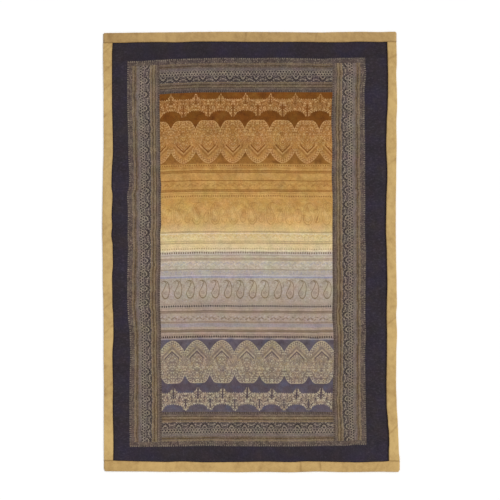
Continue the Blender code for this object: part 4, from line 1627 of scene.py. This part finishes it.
def stitch_tree():
    """Turns lines into rows of short stitches of thread that lie along them."""
    tree = bpy.data.node_groups.new("running stitches", "GeometryNodeTree")
    sockets = (
        ("Lines", "INPUT", "NodeSocketGeometry"),
        ("Pitch", "INPUT", "NodeSocketFloat"),
        ("Length", "INPUT", "NodeSocketFloat"),
        ("Thread", "INPUT", "NodeSocketFloat"),
        ("Stray", "INPUT", "NodeSocketFloat"),
        ("Seed", "INPUT", "NodeSocketInt"),
        ("Material", "INPUT", "NodeSocketMaterial"),
        ("Stitches", "OUTPUT", "NodeSocketGeometry"),
    )
    for name, side, kind in sockets:
        tree.interface.new_socket(name, in_out=side, socket_type=kind)
    entry = tree.nodes.new("NodeGroupInput")
    leave = tree.nodes.new("NodeGroupOutput")
    link = tree.links.new

    curves = tree.nodes.new("GeometryNodeMeshToCurve")
    link(entry.outputs["Lines"], curves.inputs["Mesh"])
    points = tree.nodes.new("GeometryNodeCurveToPoints")
    points.mode = "LENGTH"
    link(curves.outputs["Curve"], points.inputs["Curve"])
    link(entry.outputs["Pitch"], points.inputs["Length"])

    aside = tree.nodes.new("FunctionNodeRandomValue")
    aside.data_type = "FLOAT_VECTOR"
    aside.inputs[0].default_value = (-1.0, -1.0, 0.0)
    aside.inputs[1].default_value = (1.0, 1.0, 0.3)
    link(entry.outputs["Seed"], aside.inputs["Seed"])
    offset = tree.nodes.new("ShaderNodeVectorMath")
    offset.operation = "SCALE"
    link(aside.outputs[0], offset.inputs[0])
    link(entry.outputs["Stray"], offset.inputs["Scale"])
    moved = tree.nodes.new("GeometryNodeSetPosition")
    link(points.outputs["Points"], moved.inputs["Geometry"])
    link(offset.outputs[0], moved.inputs["Offset"])

    stitch = tree.nodes.new("GeometryNodeMeshUVSphere")
    stitch.inputs["Segments"].default_value = 6
    stitch.inputs["Rings"].default_value = 4
    stitch.inputs["Radius"].default_value = 0.5
    uneven = tree.nodes.new("FunctionNodeRandomValue")
    uneven.data_type = "FLOAT"
    uneven.inputs[2].default_value = 0.80
    uneven.inputs[3].default_value = 1.10
    link(entry.outputs["Seed"], uneven.inputs["Seed"])
    long = tree.nodes.new("ShaderNodeMath")
    long.operation = "MULTIPLY"
    link(entry.outputs["Length"], long.inputs[0])
    link(uneven.outputs[1], long.inputs[1])
    size = tree.nodes.new("ShaderNodeCombineXYZ")
    link(entry.outputs["Thread"], size.inputs[0])
    link(entry.outputs["Thread"], size.inputs[1])
    link(long.outputs[0], size.inputs[2])

    placed = tree.nodes.new("GeometryNodeInstanceOnPoints")
    link(moved.outputs["Geometry"], placed.inputs["Points"])
    link(stitch.outputs["Mesh"], placed.inputs["Instance"])
    link(points.outputs["Rotation"], placed.inputs["Rotation"])
    link(size.outputs[0], placed.inputs["Scale"])
    real = tree.nodes.new("GeometryNodeRealizeInstances")
    link(placed.outputs["Instances"], real.inputs[0])
    finish = tree.nodes.new("GeometryNodeSetMaterial")
    link(real.outputs[0], finish.inputs["Geometry"])
    link(entry.outputs["Material"], finish.inputs["Material"])
    link(finish.outputs[0], leave.inputs["Stitches"])
    return tree


STITCHES = stitch_tree()


def thread_material(name, tone):
    """Slightly glossy cotton thread, uneven from stitch to stitch, in a dye or toned with the ground."""
    material, tree, shader = cloth_material(name, 0.25, 0.10)
    place = tree.nodes.new("ShaderNodeTexCoord")
    parts = tree.nodes.new("ShaderNodeSeparateXYZ")
    tree.links.new(place.outputs["Object"], parts.inputs[0])
    x = Field(tree, parts.outputs[0])
    y = Field(tree, parts.outputs[1])
    under = dye(tone) if tone else ground((y - (CLOTH_Y + MIDDLE_TOP)) * -IN_MILLIMETRES)
    shade = (clouds(x, y, 0.004, 51.0) * 1.2 - 0.1).most(0.0).least(1.0)
    tree.links.new(printed(under, dye("ditch"), shade * 0.35), shader.inputs["Base Color"])
    tree.links.new((shade * 0.2 + 0.55).socket, shader.inputs["Roughness"])
    twist = ((x + y) * (2 * math.pi / THREAD)).reckon("SINE")
    raised(twist, shader.inputs["Normal"], 0.6, 0.0001)
    return material


def sewn_rows(name, lines, material, seed):
    """A piece made of rows of stitches along lines, each an array of places on the cloth."""
    places = np.concatenate(lines)
    last = set(np.cumsum([len(line) for line in lines]) - 1)
    edges = [(number, number + 1) for number in range(len(places)) if number not in last]
    path = bpy.data.meshes.new(name + "_lines")
    path.from_pydata(places.tolist(), edges, [])
    piece = bpy.data.objects.new(name, path)
    bpy.context.scene.collection.objects.link(piece)
    sewing = piece.modifiers.new("stitches", "NODES")
    sewing.node_group = STITCHES
    values = {
        "Pitch": STITCH_PITCH,
        "Length": STITCH_LENGTH,
        "Thread": THREAD,
        "Stray": STITCH_STRAY,
        "Seed": seed,
        "Material": material,
    }
    for item in STITCHES.interface.items_tree:
        if item.name in values:
            sewing[item.identifier] = values[item.name]
    evaluated = piece.evaluated_get(bpy.context.evaluated_depsgraph_get())
    mesh = bpy.data.meshes.new_from_object(evaluated)
    piece.modifiers.clear()
    piece.data = mesh
    mesh.shade_smooth()
    bpy.data.meshes.remove(path)
    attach(piece, "root")
    return piece


def row_across(v, start, end):
    """Places along a printed line that runs across the cloth."""
    u = columns[(columns >= start) & (columns <= end)]
    x, y = laid(u, np.full(len(u), v))
    return np.stack([x, y, face_height(u, np.full(len(u), v))], 1)


def row_along(u, start, end):
    """Places along a printed line that runs the length of the cloth."""
    v = rows[(rows >= start) & (rows <= end)]
    x, y = laid(np.full(len(v), u), v)
    return np.stack([x, y, face_height(np.full(len(v), u), v)], 1)


STRIP_ENDS = (BOTTOM_TEETH + CORNER_ROWS, TOP_TEETH - CORNER_ROWS)
border_rows = [
    row_across(TOP_TEETH, LEFT_TEETH, RIGHT_TEETH),
    row_across(BOTTOM_TEETH, LEFT_TEETH, RIGHT_TEETH),
    row_across(MIDDLE_TOP, MIDDLE_LEFT, MIDDLE_RIGHT),
    row_across(MIDDLE_BOTTOM, MIDDLE_LEFT, MIDDLE_RIGHT),
    row_along(LEFT_TEETH, BOTTOM_TEETH, TOP_TEETH),
    row_along(RIGHT_TEETH, BOTTOM_TEETH, TOP_TEETH),
    row_along(MIDDLE_LEFT, *STRIP_ENDS),
    row_along(MIDDLE_RIGHT, *STRIP_ENDS),
]
band_rows = [row_across(line, MIDDLE_LEFT, MIDDLE_RIGHT) for line in BAND_LINES[1:-1]]
dark_thread = thread_material("violet brown thread", "border beige")
toned_thread = thread_material("thread toned with the print", None)
tan_thread = thread_material("tan thread", "dark satin")
quilting = [
    sewn_rows("stitches_border", border_rows, dark_thread, 1),
    sewn_rows("stitches_middle", band_rows, toned_thread, 2),
    sewn_rows("stitches_binding", list(seam_rows.values()), tan_thread, 3),
]

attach(quilt, "root")
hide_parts("quilt_panel")

# Floor, light and camera
#
# The throw lies on a plain white floor under soft light that leans a little from the right. The camera
# looks straight down at it from well above, as square on as it can.

FRAME_WIDE = 2.388
CAMERA_LENS = 100.0
SENSOR = 36.0
CAMERA_X = -0.0048
CAMERA_Y = 0.0095
SKY_LIGHT = 0.78
WINDOW_LIGHT = 1.45
WINDOW_SPREAD = 20
WINDOW_LEAN_BACK = -22
WINDOW_LEAN_RIGHT = 48


def white_floor():
    mesh = bpy.data.meshes.new("floor")
    bm = bmesh.new()
    bmesh.ops.create_grid(bm, x_segments=1, y_segments=1, size=8.0)
    bm.to_mesh(mesh)
    bm.free()
    floor = bpy.data.objects.new("floor", mesh)
    material = bpy.data.materials.new("white floor")
    material.use_nodes = True
    shader = material.node_tree.nodes["Principled BSDF"]
    shader.inputs["Base Color"].default_value = (0.96, 0.96, 0.96, 1.0)
    shader.inputs["Roughness"].default_value = 0.9
    shader.inputs["Specular IOR Level"].default_value = 0.0
    mesh.materials.append(material)
    bpy.context.scene.collection.objects.link(floor)


white_floor()

world = bpy.data.worlds.new("soft studio")
world.use_nodes = True
world.node_tree.nodes["Background"].inputs["Color"].default_value = (1.0, 1.0, 1.0, 1.0)
world.node_tree.nodes["Background"].inputs["Strength"].default_value = SKY_LIGHT
bpy.context.scene.world = world

lamp_data = bpy.data.lights.new("window", "SUN")
lamp_data.energy = WINDOW_LIGHT
lamp_data.angle = math.radians(WINDOW_SPREAD)
lamp = bpy.data.objects.new("window", lamp_data)
lamp.rotation_euler = (math.radians(WINDOW_LEAN_BACK), math.radians(WINDOW_LEAN_RIGHT), 0)
bpy.context.scene.collection.objects.link(lamp)

camera_data = bpy.data.cameras.new("camera")
camera_data.lens = CAMERA_LENS
camera_data.sensor_width = SENSOR
camera_data.clip_end = 100.0
camera = bpy.data.objects.new("camera", camera_data)
camera.location = (CAMERA_X, CAMERA_Y, FRAME_WIDE * CAMERA_LENS / SENSOR + SEWN_HEIGHT)
bpy.context.scene.collection.objects.link(camera)
bpy.context.scene.camera = camera
bpy.context.scene.view_settings.view_transform = "Standard"
